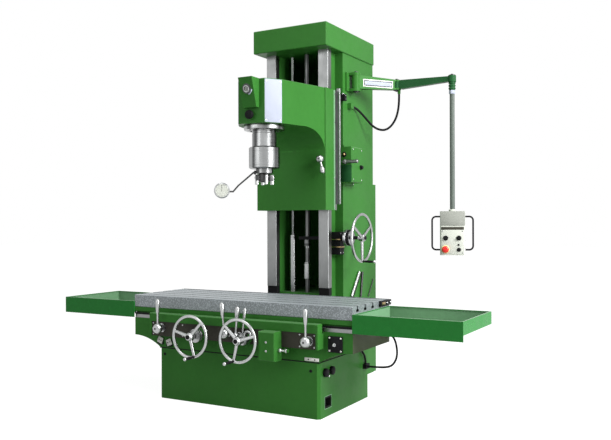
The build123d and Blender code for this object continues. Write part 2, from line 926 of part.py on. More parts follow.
# Control box with the small plunger on its side
with BuildPart() as control_box:
    box_x = (control_x, control_x + control_width)
    box_y = (apron_front - control_depth, plate_front)
    block(box_x, box_y, (control_bottom, apron_slot_floor + free_gap))
    chamfer(control_box.faces().sort_by(Axis.Y)[0].edges(), control_edge)
    plunger = (box_x[1], plunger_y, plunger_z)
    plunger_end = (box_x[1] + plunger_length, plunger_y, plunger_z)
    knob_start = (plunger_end[0] - 2 * plunger_knob_radius, plunger_y, plunger_z)
    bar(plunger, plunger_end, plunger_radius, bar_sides)
    bar(knob_start, plunger_end, plunger_knob_radius, bar_sides)
save(control_box, "control_box")

with BuildPart() as switch_plate:
    switch_z = (switch_top - switch_size, switch_top)
    block((switch_x, switch_x + switch_size), (bed_front - switch_sheet, bed_front), switch_z)
    knob_x = switch_x + switch_size / 2
    knob_z = switch_top - switch_size / 2
    knob_front = bed_front - switch_sheet - switch_knob_length
    bar((knob_x, bed_front, knob_z), (knob_x, knob_front, knob_z), switch_knob_radius, bar_sides)
save(switch_plate, "switch_plate")

# Side handwheel on its gear case, in the corner between the column's neck and its side
with BuildPart() as gear_case:
    case_x = (neck_half_width, column_half_width + gear_case_out)
    case_y = (neck_back - gear_case_depth, neck_back)
    case_z = (gear_case_bottom, gear_case_bottom + gear_case_height)
    block(case_x, case_y, case_z)
    for rib in range(1, gear_rib_count + 1):
        rib_z = case_z[0] + rib * gear_case_height / (gear_rib_count + 1)
        rib_y = (case_y[0] - gear_rib_height, neck_back)
        rib_half = gear_rib_height / 2
        block((case_x[0], case_x[1] + gear_rib_height), rib_y, (rib_z - rib_half, rib_z + rib_half))
    neck_end = case_x[1] + side_neck_length
    collar_end = neck_end + side_collar_length
    axle_end = side_wheel_x - wheel_hub_length / 2 + shaft_grip - slide_gap
    axle = [(x, side_wheel_y, side_wheel_z) for x in (case_x[0], neck_end, collar_end, axle_end)]
    bar(axle[0], axle[1], side_neck_radius, ring_sides)
    bar(axle[1], axle[2], side_collar_radius, ring_sides)
    rod(axle[2], axle[3], wheel_shaft_radius)
save(gear_case, "gear_case")

side_centre = (side_wheel_x, side_wheel_y, side_wheel_z)
save(handwheel(side_centre, (1, 0, 0), side_wheel_radius, side_wheel_turn), "side_wheel")

# Feed box with its flange, and the lever across its front
with BuildPart() as feed_box:
    feed_y = (feed_front, feed_front + feed_depth)
    feed_z = (feed_bottom, feed_bottom + feed_height)
    block((column_half_width, column_half_width + feed_width), feed_y, feed_z)
    chamfer(feed_box.faces().sort_by(Axis.X)[-1].edges(), feed_edge)
    flange_y = (neck_back, feed_y[1] + feed_flange)
    flange_z = (feed_z[0] - feed_flange, feed_z[1] + feed_flange)
    block((column_half_width, column_half_width + feed_flange_sheet), flange_y, flange_z)
    feed_lever_x = column_half_width + feed_width / 2
    feed_lever_y = feed_front - feed_lever_stand_off
    pivot = (feed_lever_x, feed_lever_y, feed_lever_z)
    rod((feed_lever_x, feed_front, feed_lever_z), pivot, feed_pivot_radius)
save(feed_box, "feed_box")

feed_lever = lever(pivot, (0, -1, 0), feed_lever_tilt, feed_hub_radius, feed_lever_length, feed_pivot_radius)
save(feed_lever, "feed_lever")

with BuildPart() as limit_switch:
    limit_x = (column_half_width + limit_out - limit_width, column_half_width + limit_out)
    block(limit_x, (neck_back - limit_depth, neck_back), (limit_bottom, limit_bottom + limit_height))
save(limit_switch, "limit_switch")

clamp_lever = lever(clamp_hub, (0, -1, 0), clamp_tilt, clamp_hub_radius, clamp_length, clamp_pivot_radius)
save(clamp_lever, "clamp_lever")


def lug(x, y, middle, thickness, back=0):
    """A round lug on an upright pin, with a block that reaches back to its carrier."""
    lug_z = (middle - thickness / 2, middle + thickness / 2)
    bar((x, y, lug_z[0]), (x, y, lug_z[1]), lug_radius, ring_sides)
    if back:
        block((x - back, x), (y - lug_radius, y + lug_radius), lug_z)


# Pendant bracket: a plate on the column's side and two lugs with their pin
with BuildPart() as pendant_bracket:
    plate_y = (pivot_y - bracket_plate_width / 2, pivot_y + bracket_plate_width / 2)
    reach = inner_root_height / 2 + lug_thickness
    side_x = (column_half_width, column_half_width + bracket_plate)
    block(side_x, plate_y, (arm_middle - reach, arm_middle + reach))
    for side in (-1, 1):
        middle = arm_middle + side * (inner_root_height + lug_thickness) / 2
        lug(pivot_x, pivot_y, middle, lug_thickness, pivot_out)
    rod((pivot_x, pivot_y, arm_middle - reach), (pivot_x, pivot_y, arm_middle + reach), pin_radius)
save(pendant_bracket, "pendant_bracket")


def upright(pin, height, radius, mode=Mode.ADD):
    """A boss with many flat sides, or a round bore, on an upright pin at the arms' middle height."""
    bottom, top = (*pin, arm_middle - height / 2), (*pin, arm_middle + height / 2)
    if mode == Mode.SUBTRACT:
        return rod(bottom, top, radius, mode=mode)
    return bar(bottom, top, radius, ring_sides)


def arm_side(start, end):
    """The upright plane through two pins: its first axis runs along the arm, its second is Z."""
    way = Vector(end[0] - start[0], end[1] - start[1], 0)
    return Plane(origin=(*start, arm_middle), x_dir=way, z_dir=(way.Y, -way.X, 0))


shoulder_pin = (pivot_x, pivot_y)
elbow_pin = (elbow_x, elbow_y)
end_pin = (end_x, end_y)
inner_length = (Vector(elbow_pin) - Vector(shoulder_pin)).length
outer_length = (Vector(end_pin) - Vector(elbow_pin)).length
barrel_height = inner_root_height - 2 * slide_gap
knuckle_height = inner_end_height - 2 * (fork_thickness + slide_gap)


def gland(end, before, length, radius):
    """A round gland on the end of a cord, in line with its last run."""
    way = (Vector(end) - Vector(before)).normalized()
    bar(end, Vector(end) + way * length, radius, bar_sides)


with BuildPart() as conduit_box:
    block((column_half_width, conduit_box_x), conduit_box_y, conduit_box_z)
save(conduit_box, "conduit_box")

# Inner arm: a barrel on the bracket's pin, a tapering beam, and a fork that holds the elbow's pin
with BuildPart() as inner_arm:
    upright(shoulder_pin, barrel_height, barrel_radius)
    upright(elbow_pin, inner_end_height, lug_radius)
    with BuildSketch(arm_side(shoulder_pin, elbow_pin)):
        with BuildLine():
            Polyline(
                (pin_radius, -barrel_height / 2),
                (inner_length, -inner_end_height / 2),
                (inner_length, inner_end_height / 2),
                (pin_radius, barrel_height / 2),
                close=True,
            )
        make_face()
    extrude(amount=arm_width / 2, both=True)
    upright(shoulder_pin, barrel_height, pin_radius + running_gap, Mode.SUBTRACT)
    upright(elbow_pin, knuckle_height + 2 * slide_gap, lug_radius + free_gap, Mode.SUBTRACT)
    upright(elbow_pin, inner_end_height, pin_radius)
    gland(conduit_points[-1], conduit_points[-2], conduit_gland_length, conduit_gland_radius)
save(inner_arm, "inner_arm")

# Outer arm: a knuckle in the inner arm's fork, a tapering beam and an end boss bored for the pendant
with BuildPart() as outer_arm:
    upright(elbow_pin, knuckle_height, knuckle_radius)
    upright(end_pin, end_boss_height, end_boss_radius)
    with BuildSketch(arm_side(elbow_pin, end_pin)):
        with BuildLine():
            Polyline(
                (pin_radius, -knuckle_height / 2),
                (lug_radius + free_gap, -knuckle_height / 2),
                (lug_radius + free_gap, -outer_root_height / 2),
                (outer_length, -outer_end_height / 2),
                (outer_length, outer_end_height / 2),
                (lug_radius + free_gap, outer_root_height / 2),
                (lug_radius + free_gap, knuckle_height / 2),
                (pin_radius, knuckle_height / 2),
                close=True,
            )
        make_face()
    extrude(amount=outer_width / 2, both=True)
    upright(elbow_pin, knuckle_height, pin_radius + running_gap, Mode.SUBTRACT)
    boss_bottom = arm_middle - end_boss_height / 2
    spigot_top = boss_bottom + spigot_length
    bore_top = (*end_pin, spigot_top + slide_gap)
    rod((*end_pin, boss_bottom), bore_top, pin_radius + running_gap, mode=Mode.SUBTRACT)
save(outer_arm, "outer_arm")

# Pendant: a ribbed fitting with its nut, the tube, and the box that is turned to the operator
with BuildPart() as pendant_tube:
    fitting_top = boss_bottom - slide_gap
    fitting_bottom = fitting_top - fitting_height
    nut_end = fitting_bottom - nut_depth
    bar((*end_pin, fitting_bottom), (*end_pin, fitting_top), fitting_radius - fitting_groove, ring_sides)
    rod((*end_pin, fitting_top), (*end_pin, spigot_top), pin_radius)
    for ring in range(fitting_rings):
        ring_top = fitting_top - ring * fitting_height / fitting_rings
        bar((*end_pin, ring_top - fitting_ring_height), (*end_pin, ring_top), fitting_radius, ring_sides)
    bar((*end_pin, nut_end), (*end_pin, fitting_bottom), nut_radius, nut_sides)
    bar((*end_pin, pendant_top), (*end_pin, nut_end), tube_radius, ring_sides)
save(pendant_tube, "pendant_tube")

pendant_place = Location((*end_pin, 0), (0, 0, pendant_turn))
half_pendant = pendant_width / 2
pendant_x = (-half_pendant, half_pendant)
pendant_face = -pendant_depth / 2

with BuildPart() as pendant_box:
    with Locations(pendant_place):
        block(pendant_x, (pendant_face, -pendant_face), (pendant_bottom, pendant_top))
    chamfer(pendant_box.edges().filter_by(Axis.Z), pendant_edge)
save(pendant_box, "pendant_box")

# The two handles are what a ring of flat bar leaves on each side of the box
with BuildPart() as pendant_handles:
    ring_width = 2 * (half_pendant + handle_out)
    with BuildSketch(upright_plane((*end_pin, handle_middle), pendant_turn)):
        RectangleRounded(ring_width, handle_height, handle_bend)
        gap_width = ring_width - 2 * handle_bar
        gap_height = handle_height - 2 * handle_bar
        RectangleRounded(gap_width, gap_height, handle_bend - handle_bar, mode=Mode.SUBTRACT)
    extrude(amount=handle_bar / 2, both=True)
    with Locations(pendant_place):
        block(pendant_x, (pendant_face, -pendant_face), (pendant_bottom, pendant_top), Mode.SUBTRACT)
save(pendant_handles, "pendant_handles")

with BuildPart() as pendant_buttons:
    for x, z, radius, depth in buttons:
        start, end = [
            (pendant_place * Pos(x, pendant_face - out, pendant_bottom + z)).position
            for out in (0, depth)
        ]
        bar(start, end, radius, ring_sides)
save(pendant_buttons, "pendant_buttons")


def bend_radius(before, corner, after):
    """The radius of a cord's bend at a corner, from its shorter run and its turn."""
    run_in, run_out = Vector(corner) - Vector(before), Vector(after) - Vector(corner)
    turn = radians(run_in.get_angle(run_out))
    return bend_share * min(run_in.length, run_out.length) / tan(turn / 2)


def cord(points, radius):
    """A cord along straight runs that are joined by arcs; a few flat sides stand for its round section."""
    radii = [bend_radius(*three) for three in zip(points, points[1:], points[2:])]
    print("bend radii", [round(value) for value in radii])
    with BuildPart() as piece:
        with BuildLine() as path:
            FilletPolyline(*points, radius=radii)
        with BuildSketch(Plane(origin=points[0], z_dir=Vector(points[1]) - Vector(points[0]))):
            RegularPolygon(radius, cord_sides)
        sweep(path=path.wires()[0])
    return piece


with BuildPart() as base_terminal:
    block(
        (base_half_length, base_half_length + terminal_depth),
        (terminal_y - terminal_half_length, terminal_y + terminal_half_length),
        (terminal_z - terminal_half_height, terminal_z + terminal_half_height),
    )
save(base_terminal, "base_terminal")

with BuildPart() as bed_terminals:
    for x, z in bed_terminal_places:
        block(
            (x - terminal_half_length, x + terminal_half_length),
            (bed_back, bed_back + terminal_depth),
            (z - terminal_half_height, z + terminal_half_height),
        )
save(bed_terminals, "bed_terminals")

for name, points, radius in (
    ("arm_conduit", conduit_points, conduit_radius),
    ("bed_cable_1", cable_1_points, cable_radius),
    ("bed_cable_2", cable_2_points, cable_radius),
):
    save(cord(points, radius), name)
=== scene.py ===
"""Looks of a cylinder boring machine, laid out as a Blender add-on and run as a script.

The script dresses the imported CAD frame. Lengths are in metres. X runs along the table, Y goes back
into the machine and Z is up. The spindle's axis meets the floor at the origin.
"""

import json
import math
from contextlib import contextmanager

import bpy
from mathutils import Matrix, Vector

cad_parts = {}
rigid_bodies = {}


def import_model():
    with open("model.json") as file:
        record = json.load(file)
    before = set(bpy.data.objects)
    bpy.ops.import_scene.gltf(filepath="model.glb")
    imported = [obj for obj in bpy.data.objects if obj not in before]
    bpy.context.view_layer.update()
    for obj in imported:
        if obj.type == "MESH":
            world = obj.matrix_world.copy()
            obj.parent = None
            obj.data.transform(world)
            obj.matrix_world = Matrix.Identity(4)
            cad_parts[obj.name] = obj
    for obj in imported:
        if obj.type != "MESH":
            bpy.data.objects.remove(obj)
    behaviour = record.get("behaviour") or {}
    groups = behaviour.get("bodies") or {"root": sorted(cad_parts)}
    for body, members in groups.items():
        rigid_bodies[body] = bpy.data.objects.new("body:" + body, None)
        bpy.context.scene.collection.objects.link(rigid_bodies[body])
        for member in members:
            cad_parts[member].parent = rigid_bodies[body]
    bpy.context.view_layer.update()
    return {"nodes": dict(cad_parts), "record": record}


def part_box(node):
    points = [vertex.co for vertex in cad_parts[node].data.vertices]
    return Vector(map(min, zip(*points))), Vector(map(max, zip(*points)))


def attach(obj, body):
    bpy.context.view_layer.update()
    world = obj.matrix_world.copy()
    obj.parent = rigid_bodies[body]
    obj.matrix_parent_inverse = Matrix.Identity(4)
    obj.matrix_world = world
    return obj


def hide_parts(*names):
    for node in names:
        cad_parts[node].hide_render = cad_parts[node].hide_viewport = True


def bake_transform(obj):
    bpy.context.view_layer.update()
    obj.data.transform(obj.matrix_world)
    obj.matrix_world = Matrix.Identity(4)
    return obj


bl_info = {
    "name": "Cylinder boring machine",
    "version": (1, 0, 0),
    "blender": (4, 5, 0),
    "location": "3D View > Sidebar > Boring machine",
    "description": "Builds the finished look of a cylinder boring machine around its CAD frame",
    "category": "Object",
}

bpy.ops.object.select_all(action="SELECT")
bpy.ops.object.delete()
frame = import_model()

LEFT, RIGHT = Vector((-1, 0, 0)), Vector((1, 0, 0))
FRONT = Vector((0, -1, 0))
DOWN, UP = Vector((0, 0, -1)), Vector((0, 0, 1))
SMOOTH_BELOW = math.radians(35)
BEVEL_ABOVE = math.radians(38)
SPOKES = 3
FINE_SIDES, SIDES, FEW_SIDES = 64, 40, 16

# The apron's handwheels, and its levers: x, z, tilt in degrees, hub radius, length, flange radius
FIRST_WHEEL_X, SECOND_WHEEL_X = -0.206, 0.122
WHEEL_HEIGHT = 0.4121
APRON_LEVERS = (
    (-0.482, 0.436, 0, 0.030, 0.176, 0.026),
    (0.001, 0.438, 6, 0.028, 0.176, 0.021),
    (0.077, 0.434, -5, 0.015, 0.162, 0.014),
    (0.523, 0.430, 0, 0.030, 0.176, 0.026),
)

# The upright pins of the pendant's arms on the floor plan, and how far the pendant's box is turned
SHOULDER, ELBOW = Vector((0.313, 0.640, 0)), Vector((0.503, 0.883, 0))
ARM_END = Vector((0.903, 0.850, 0))
PENDANT_TURN = math.radians(19)

# The gauge is modelled in the plane of the table's length, then turned about the spindle
GAUGE_DIAL = Vector((-0.258, 0, 1.256))
GAUGE_TURN = math.radians(36)


# Sizes and colours that a user would change


def length_property(name, description, default):
    """A length in metres."""
    kind = {"unit": "LENGTH", "subtype": "DISTANCE", "precision": 4}
    return bpy.props.FloatProperty(name=name, description=description, default=default, min=0, **kind)


def colour_property(name, description, default):
    """A colour of a finish, in linear values."""
    return bpy.props.FloatVectorProperty(
        name=name, description=description, default=default, size=3, min=0, max=1, subtype="COLOR"
    )


def strength_property(name, description, default, unit="NONE"):
    """A plain number, such as a lamp's power."""
    return bpy.props.FloatProperty(name=name, description=description, default=default, min=0, unit=unit)


class MachineColours(bpy.types.PropertyGroup):
    """Colours of the finishes."""

    enamel: colour_property("Enamel", "Green machine enamel on the castings", (0.036, 0.166, 0.027))
    tray: colour_property("Trays", "Glossy green on the sheet trays", (0.020, 0.185, 0.032))
    plate: colour_property("Apron plate", "Dark olive paint on the apron's plate", (0.052, 0.050, 0.040))
    steel: colour_property("Steel", "Bright turned steel", (0.40, 0.41, 0.41))
    iron: colour_property("Table", "Scraped cast iron of the table", (0.27, 0.30, 0.315))
    pale: colour_property("Pale paint", "Pale paint of the pendant and the dials", (0.56, 0.58, 0.52))
    black: colour_property("Black", "Black plastic and rubber", (0.009, 0.009, 0.010))
    white: colour_property("White plates", "White enamel plates", (0.40, 0.43, 0.52))
    red: colour_property("Stop button", "Red mushroom button", (0.55, 0.018, 0.012))
    yellow: colour_property("Stop ring", "Yellow ring round the red button", (0.62, 0.55, 0.22))
    label: colour_property("Labels", "White small plates and bolts", (0.82, 0.82, 0.78))
    bronze: colour_property("Bronze", "Bronze strips on the gear case", (0.45, 0.33, 0.16))
    # On the outer arm this darker green paints the shade the arm stands in
    dark_green: colour_property("Dark green", "Deeper green on the pendant's arms", (0.016, 0.088, 0.027))
    # The olive brown paints the shade under the right tray on the bed's end
    bed_end: colour_property("Bed end", "Olive brown of the bed's right end", (0.036, 0.052, 0.017))
    tube: colour_property("Tube", "Grey paint of the pendant's tube", (0.095, 0.115, 0.100))
    # This pale green paints the sheen inside the trays; the carriage's gib and the pockets' rims share it
    lining: colour_property("Tray lining", "Pale green inside the trays", (0.165, 0.315, 0.180))


class MachineSizes(bpy.types.PropertyGroup):
    """Sizes of the small pieces."""

    edge: length_property("Edge", "Rounding of the small pieces' edges", 0.0012)
    rim: length_property("Rim", "Half the thickness of the handwheels' rims", 0.0088)
    spoke: length_property("Spoke", "Radius of the handwheels' spokes at the rim", 0.0088)
    grip: length_property("Grip", "Radius of the levers' grips", 0.0138)
    stem: length_property("Stem", "Radius of the levers' stems at the hub", 0.0055)
    thread: length_property("Thread", "Pitch of the lifting screw's thread", 0.008)
    collar: length_property("Collar", "Radius of the graduated collars", 0.040)


class MachineStage(bpy.types.PropertyGroup):
    """Light and camera."""

    key: strength_property("Key lamp", "Power of the large lamp on the right", 425, "POWER")
    fill: strength_property("Fill lamp", "Power of the soft lamp in front", 50, "POWER")
    side: strength_property("Side lamp", "Power of the low lamp on the right", 75, "POWER")
    top: strength_property("Top lamp", "Power of the soft lamp above", 110, "POWER")
    ambient: strength_property("Ambient", "Strength of the light from all round", 0.25)
    floor: strength_property("Floor glow", "How much of the floor's white doesn't take a shadow", 0.93)
    lens: strength_property("Lens", "Focal length in millimetres", 44.133)


# Selection and edit mode


def only(*objects):
    """Select these objects alone; the last one is active."""
    bpy.ops.object.select_all(action="DESELECT")
    for one in objects:
        one.select_set(True)
    bpy.context.view_layer.objects.active = objects[-1]


@contextmanager
def editing(piece):
    """Edit mode on one piece, with all of it selected."""
    only(piece)
    bpy.ops.object.mode_set(mode="EDIT")
    bpy.ops.mesh.select_all(action="SELECT")
    yield
    bpy.ops.object.mode_set(mode="OBJECT")


def pick_faces(piece, test):
    """In edit mode, select the faces whose centre and normal pass the test."""
    bpy.ops.mesh.select_mode(type="FACE")
    bpy.ops.mesh.select_all(action="DESELECT")
    bpy.ops.object.mode_set(mode="OBJECT")
    for face in piece.data.polygons:
        face.select = test(face.center, face.normal)
    bpy.ops.object.mode_set(mode="EDIT")


def cut_away(piece, test):
    """Delete the faces that pass the test, and close the holes that this leaves."""
    with editing(piece):
        pick_faces(piece, test)
        bpy.ops.mesh.delete(type="FACE")
        bpy.ops.mesh.select_all(action="SELECT")
        bpy.ops.mesh.region_to_loop()
        bpy.ops.mesh.fill_holes(sides=0)


def sink(piece, test, margin, move):
    """Inset the faces that pass the test, and push what is inside the margin in."""
    with editing(piece):
        pick_faces(piece, test)
        bpy.ops.mesh.inset(thickness=margin)
        bpy.ops.mesh.extrude_region_move(TRANSFORM_OT_translate={"value": move})


def settle(piece):
    """Put the piece's place, turn and scale into its mesh."""
    only(piece)
    bpy.ops.object.transform_apply(location=True, rotation=True, scale=True)
    return piece


def moved(piece, matrix):
    """Move and turn the piece's mesh by a matrix."""
    piece.matrix_world = matrix
    return settle(piece)


def turn_about(piece, place, axis, angle):
    """Turn the piece's mesh about an axis through a place."""
    there, back = Matrix.Translation(place), Matrix.Translation(-Vector(place))
    return moved(piece, there @ Matrix.Rotation(angle, 4, axis) @ back)


def tilted(way, degrees):
    """Up, turned by this many degrees about a direction."""
    return Matrix.Rotation(math.radians(degrees), 3, way) @ UP


def finish_named(name):
    """The material of one finish; the CAD slots' own plain materials have other names."""
    return bpy.data.materials["finish_" + name]


def coat(piece, finish):
    """Give the piece one finish."""
    piece.data.materials.clear()
    piece.data.materials.append(finish_named(finish))
    return piece


def aim(piece, start, way):
    """Turn a piece that was made upright at the origin to this direction, and put it at its start."""
    piece.rotation_euler = Vector(way).to_track_quat("Z", "Y").to_euler()
    piece.location = start
    return settle(piece)


# Forms


def block(x, y, z, finish, edge=None):
    """A block between pairs of limits, with rounded edges."""
    low, high = Vector((x[0], y[0], z[0])), Vector((x[1], y[1], z[1]))
    bpy.ops.mesh.primitive_cube_add(size=1, location=(low + high) / 2, scale=high - low)
    piece = settle(bpy.context.object)
    rounding = bpy.context.scene.machine_sizes.edge if edge is None else edge
    with editing(piece):
        bpy.ops.mesh.bevel(offset=min(rounding, min(high - low) / 3), segments=2, affect="EDGES")
    return coat(piece, finish)


def turned(start, way, stations, finish, sides=SIDES, edge=0.0):
    """A turned piece: a disc is drawn out along its axis through (distance, radius) stations."""
    (height, radius), rest = stations[0], stations[1:]
    bpy.ops.mesh.primitive_circle_add(
        vertices=sides, radius=radius, fill_type="NGON", location=(0, 0, height)
    )
    piece = settle(bpy.context.object)
    with editing(piece):
        for next_height, next_radius in rest:
            rise, share = (0, 0, next_height - height), next_radius / radius
            bpy.ops.mesh.extrude_region_move(TRANSFORM_OT_translate={"value": rise})
            bpy.ops.transform.resize(value=(share, share, 1), center_override=(0, 0, next_height))
            height, radius = next_height, next_radius
        bpy.ops.mesh.select_all(action="SELECT")
        bpy.ops.mesh.normals_make_consistent(inside=False)
    coat(piece, finish)
    if edge:
        soften(piece, edge)
    return aim(piece, start, way)


def soften(piece, width):
    """Round the piece's sharp edges."""
    only(piece)
    bevel = piece.modifiers.new("Soft edges", "BEVEL")
    bevel.width = width
    bevel.segments = 2
    bevel.limit_method = "ANGLE"
    bevel.angle_limit = BEVEL_ABOVE
    bpy.ops.object.modifier_apply(modifier=bevel.name)


def ball(radius, back=-0.985, front=0.985):
    """Stations of a ball that is cut flat at these shares of its radius."""
    lowest, highest = math.asin(back), math.asin(front)
    angles = [lowest + (highest - lowest) * step / 10 for step in range(11)]
    return [(radius * math.sin(angle), radius * math.cos(angle)) for angle in angles]


def hoop(centre, way, radius, section, finish, sides=96):
    """A round bar bent to a ring."""
    segments = {"major_segments": sides, "minor_segments": FEW_SIDES}
    bpy.ops.mesh.primitive_torus_add(major_radius=radius, minor_radius=section, **segments)
    return aim(coat(bpy.context.object, finish), centre, way)


def screw(place, way, radius, finish="steel"):
    """A cap screw with a hexagon socket."""
    height = radius * 0.7
    stations = [(-radius * 0.2, radius), (height * 0.75, radius), (height, radius * 0.82)]
    piece = turned((0, 0, 0), UP, stations, finish, sides=12)
    sink(
        piece,
        lambda centre, normal: normal.z > 0.9 and centre.z > height * 0.9,
        margin=radius * 0.4,
        move=(0, 0, -height * 0.6),
    )
    return aim(piece, place, way)


def copied(piece, places):
    """The piece, which stands at the first place, and a copy with its own mesh at each other place."""
    made = [piece]
    for place in places[1:]:
        only(piece)
        bpy.ops.object.duplicate()
        bpy.ops.transform.translate(value=Vector(place) - Vector(places[0]))
        made.append(settle(bpy.context.object))
    return made


def screws(places, way, radius, finish="steel"):
    """A row of like screws."""
    return copied(screw(places[0], way, radius, finish), places)


def finished(parts, name, body, slot, *nodes):
    """Join the parts into one named piece that rides on a body and stands for these CAD nodes."""
    only(*parts)
    if len(parts) > 1:
        bpy.ops.object.join()
    piece = bpy.context.object
    piece.name = piece.data.name = name
    bpy.ops.object.shade_smooth_by_angle(angle=SMOOTH_BELOW)
    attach(piece, body)
    if nodes:
        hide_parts(*nodes)
    return piece


def middle(node):
    """The middle of a CAD node's box."""
    low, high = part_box(node)
    return (low + high) / 2


# Finishes


def start_finish(name):
    """A new material: its node tree, its shader and its Object coordinates."""
    material = bpy.data.materials.new("finish_" + name)
    material.use_nodes = True
    tree = material.node_tree
    place = tree.nodes.new("ShaderNodeTexCoord").outputs["Object"]
    return tree, tree.nodes["Principled BSDF"], place


def add(tree, kind, values=None, **settings):
    """Add a node; a value that is a socket is linked, any other is set."""
    made = tree.nodes.new("ShaderNode" + kind)
    for key, value in settings.items():
        setattr(made, key, value)
    for key, value in (values or {}).items():
        if isinstance(value, bpy.types.NodeSocket):
            tree.links.new(value, made.inputs[key])
        else:
            made.inputs[key].default_value = value
    return made


def grain(tree, place, scale, detail=3.0, stretch=(1, 1, 1)):
    """Noise of this scale, stretched along the axes."""
    mapped = add(tree, "Mapping", {"Vector": place, "Scale": stretch}).outputs["Vector"]
    return add(tree, "TexNoise", {"Vector": mapped, "Scale": scale, "Detail": detail}).outputs["Fac"]


def spread(tree, value, low, high, to_low=0.0, to_high=1.0):
    """The value with one range turned into another, kept within it."""
    values = {"Value": value, "From Min": low, "From Max": high, "To Min": to_low, "To Max": to_high}
    return add(tree, "MapRange", values).outputs["Result"]


def blend_colours(tree, share, first, second):
    """Two colours mixed by a share."""
    mixer = tree.nodes.new("ShaderNodeMix")
    mixer.data_type = "RGBA"
    for index, value in ((0, share), (6, first), (7, second)):
        if isinstance(value, bpy.types.NodeSocket):
            tree.links.new(value, mixer.inputs[index])
        else:
            mixer.inputs[index].default_value = value if index == 0 else (*value[:3], 1)
    return mixer.outputs[2]


def times(tree, first, second):
    """Two values multiplied."""
    return add(tree, "Math", {0: first, 1: second}, operation="MULTIPLY").outputs[0]


def shade(colour, share):
    """A colour made darker or paler."""
    return tuple(min(1.0, channel * share) for channel in colour)


def facing(tree, axis):
    """How far the surface faces along one axis of the object, from 0 to 1."""
    normal = add(tree, "NewGeometry").outputs["Normal"]
    parts = add(tree, "SeparateXYZ", {"Vector": normal})
    return spread(tree, parts.outputs[axis], 0.2, 0.9)


def worn_edges(tree, place, reach):
    """1 on sharp edges, broken up by a grain."""
    rounded = add(tree, "Bevel", {"Radius": reach}, samples=4)
    flat = add(tree, "NewGeometry")
    values = {0: rounded.outputs["Normal"], 1: flat.outputs["Normal"]}
    alike = add(tree, "VectorMath", values, operation="DOT_PRODUCT").outputs["Value"]
    bare = spread(tree, alike, 0.995, 0.90)
    return times(tree, bare, spread(tree, grain(tree, place, 30), 0.42, 0.62))


def paint(tree, shader, tone, rough):
    """Give the shader its colour and its roughness."""
    tree.links.new(tone, shader.inputs["Base Color"])
    tree.links.new(rough, shader.inputs["Roughness"])


def relief(tree, shader, height, strength, depth):
    """Let a height pattern show as bumps."""
    bump = add(tree, "Bump", {"Height": height, "Strength": strength, "Distance": depth})
    tree.links.new(bump.outputs["Normal"], shader.inputs["Normal"])


def enamel_finish(name, colour, gloss, dust, end=None):
    """Machine enamel: slow shifts of tone, orange peel, dust on what faces up and paler edges, partly worn
    and partly a painted highlight.

    Faces at the right end take the end colour, a painted shade, where one is given.
    """
    tree, shader, place = start_finish(name)
    cloud = grain(tree, place, 2.2, 4)
    fine = grain(tree, place, 38, 3)
    tone = blend_colours(tree, cloud, shade(colour, 0.86), shade(colour, 1.14))
    tone = blend_colours(tree, spread(tree, fine, 0.45, 0.8, 0, 0.35), tone, shade(colour, 0.8))
    dust_grey = 0.4
    dusty = tuple(0.7 * channel + 0.3 * dust_grey for channel in colour)
    tone = blend_colours(tree, times(tree, facing(tree, 2), dust), tone, dusty)
    wear_and_highlight = worn_edges(tree, place, 0.002)
    # Paler edges: partly paint worn thin, partly a painted highlight along the edges
    tone = blend_colours(tree, times(tree, wear_and_highlight, 0.35), tone, shade(colour, 2.2))
    # Painted shade: faces that look along +X take the end colour
    if end:
        tone = blend_colours(tree, facing(tree, 0), tone, end)
    rough = spread(tree, grain(tree, place, 9, 4), 0.3, 0.7, gloss - 0.05, gloss + 0.10)
    paint(tree, shader, tone, rough)
    shader.inputs["Specular IOR Level"].default_value = 0.08
    relief(tree, shader, grain(tree, place, 160, 2), 0.12, 0.001)


def steel_finish(name, colour, roughness, stretch=(1, 1, 1), depth=0.07):
    """Machined steel: fine tool marks, smears of oil and small changes of gloss."""
    tree, shader, place = start_finish(name)
    marks = grain(tree, place, 120, 3, stretch)
    smear = grain(tree, place, 11, 4)
    tone = blend_colours(tree, marks, shade(colour, 0.82), shade(colour, 1.12))
    tone = blend_colours(tree, spread(tree, smear, 0.5, 0.85, 0, 0.4), tone, shade(colour, 0.6))
    paint(tree, shader, tone, spread(tree, smear, 0.3, 0.75, roughness * 0.8, roughness * 1.35))
    shader.inputs["Metallic"].default_value = 1.0
    relief(tree, shader, marks, depth, 0.0006)


def banded_finish(name, colour, roughness):
    """Turned steel: fine rings, and broad bright and dark bands along the axis that are painted
    reflections.
    """
    tree, shader, place = start_finish(name)
    rings = grain(tree, place, 90, 2, (0.2, 0.2, 12))
    # The broad bands are painted reflections: fixed bright and dark stripes along the axis
    bands = grain(tree, place, 17, 1, (1, 1, 0.04))
    tone = blend_colours(tree, spread(tree, bands, 0.40, 0.60), shade(colour, 0.11), shade(colour, 1.02))
    tone = blend_colours(tree, spread(tree, rings, 0.35, 0.65, 0, 0.35), tone, shade(colour, 0.7))
    smear = grain(tree, place, 11, 4)
    paint(tree, shader, tone, spread(tree, smear, 0.3, 0.75, roughness * 0.8, roughness * 1.35))
    shader.inputs["Metallic"].default_value = 1.0
    relief(tree, shader, rings, 0.08, 0.0005)


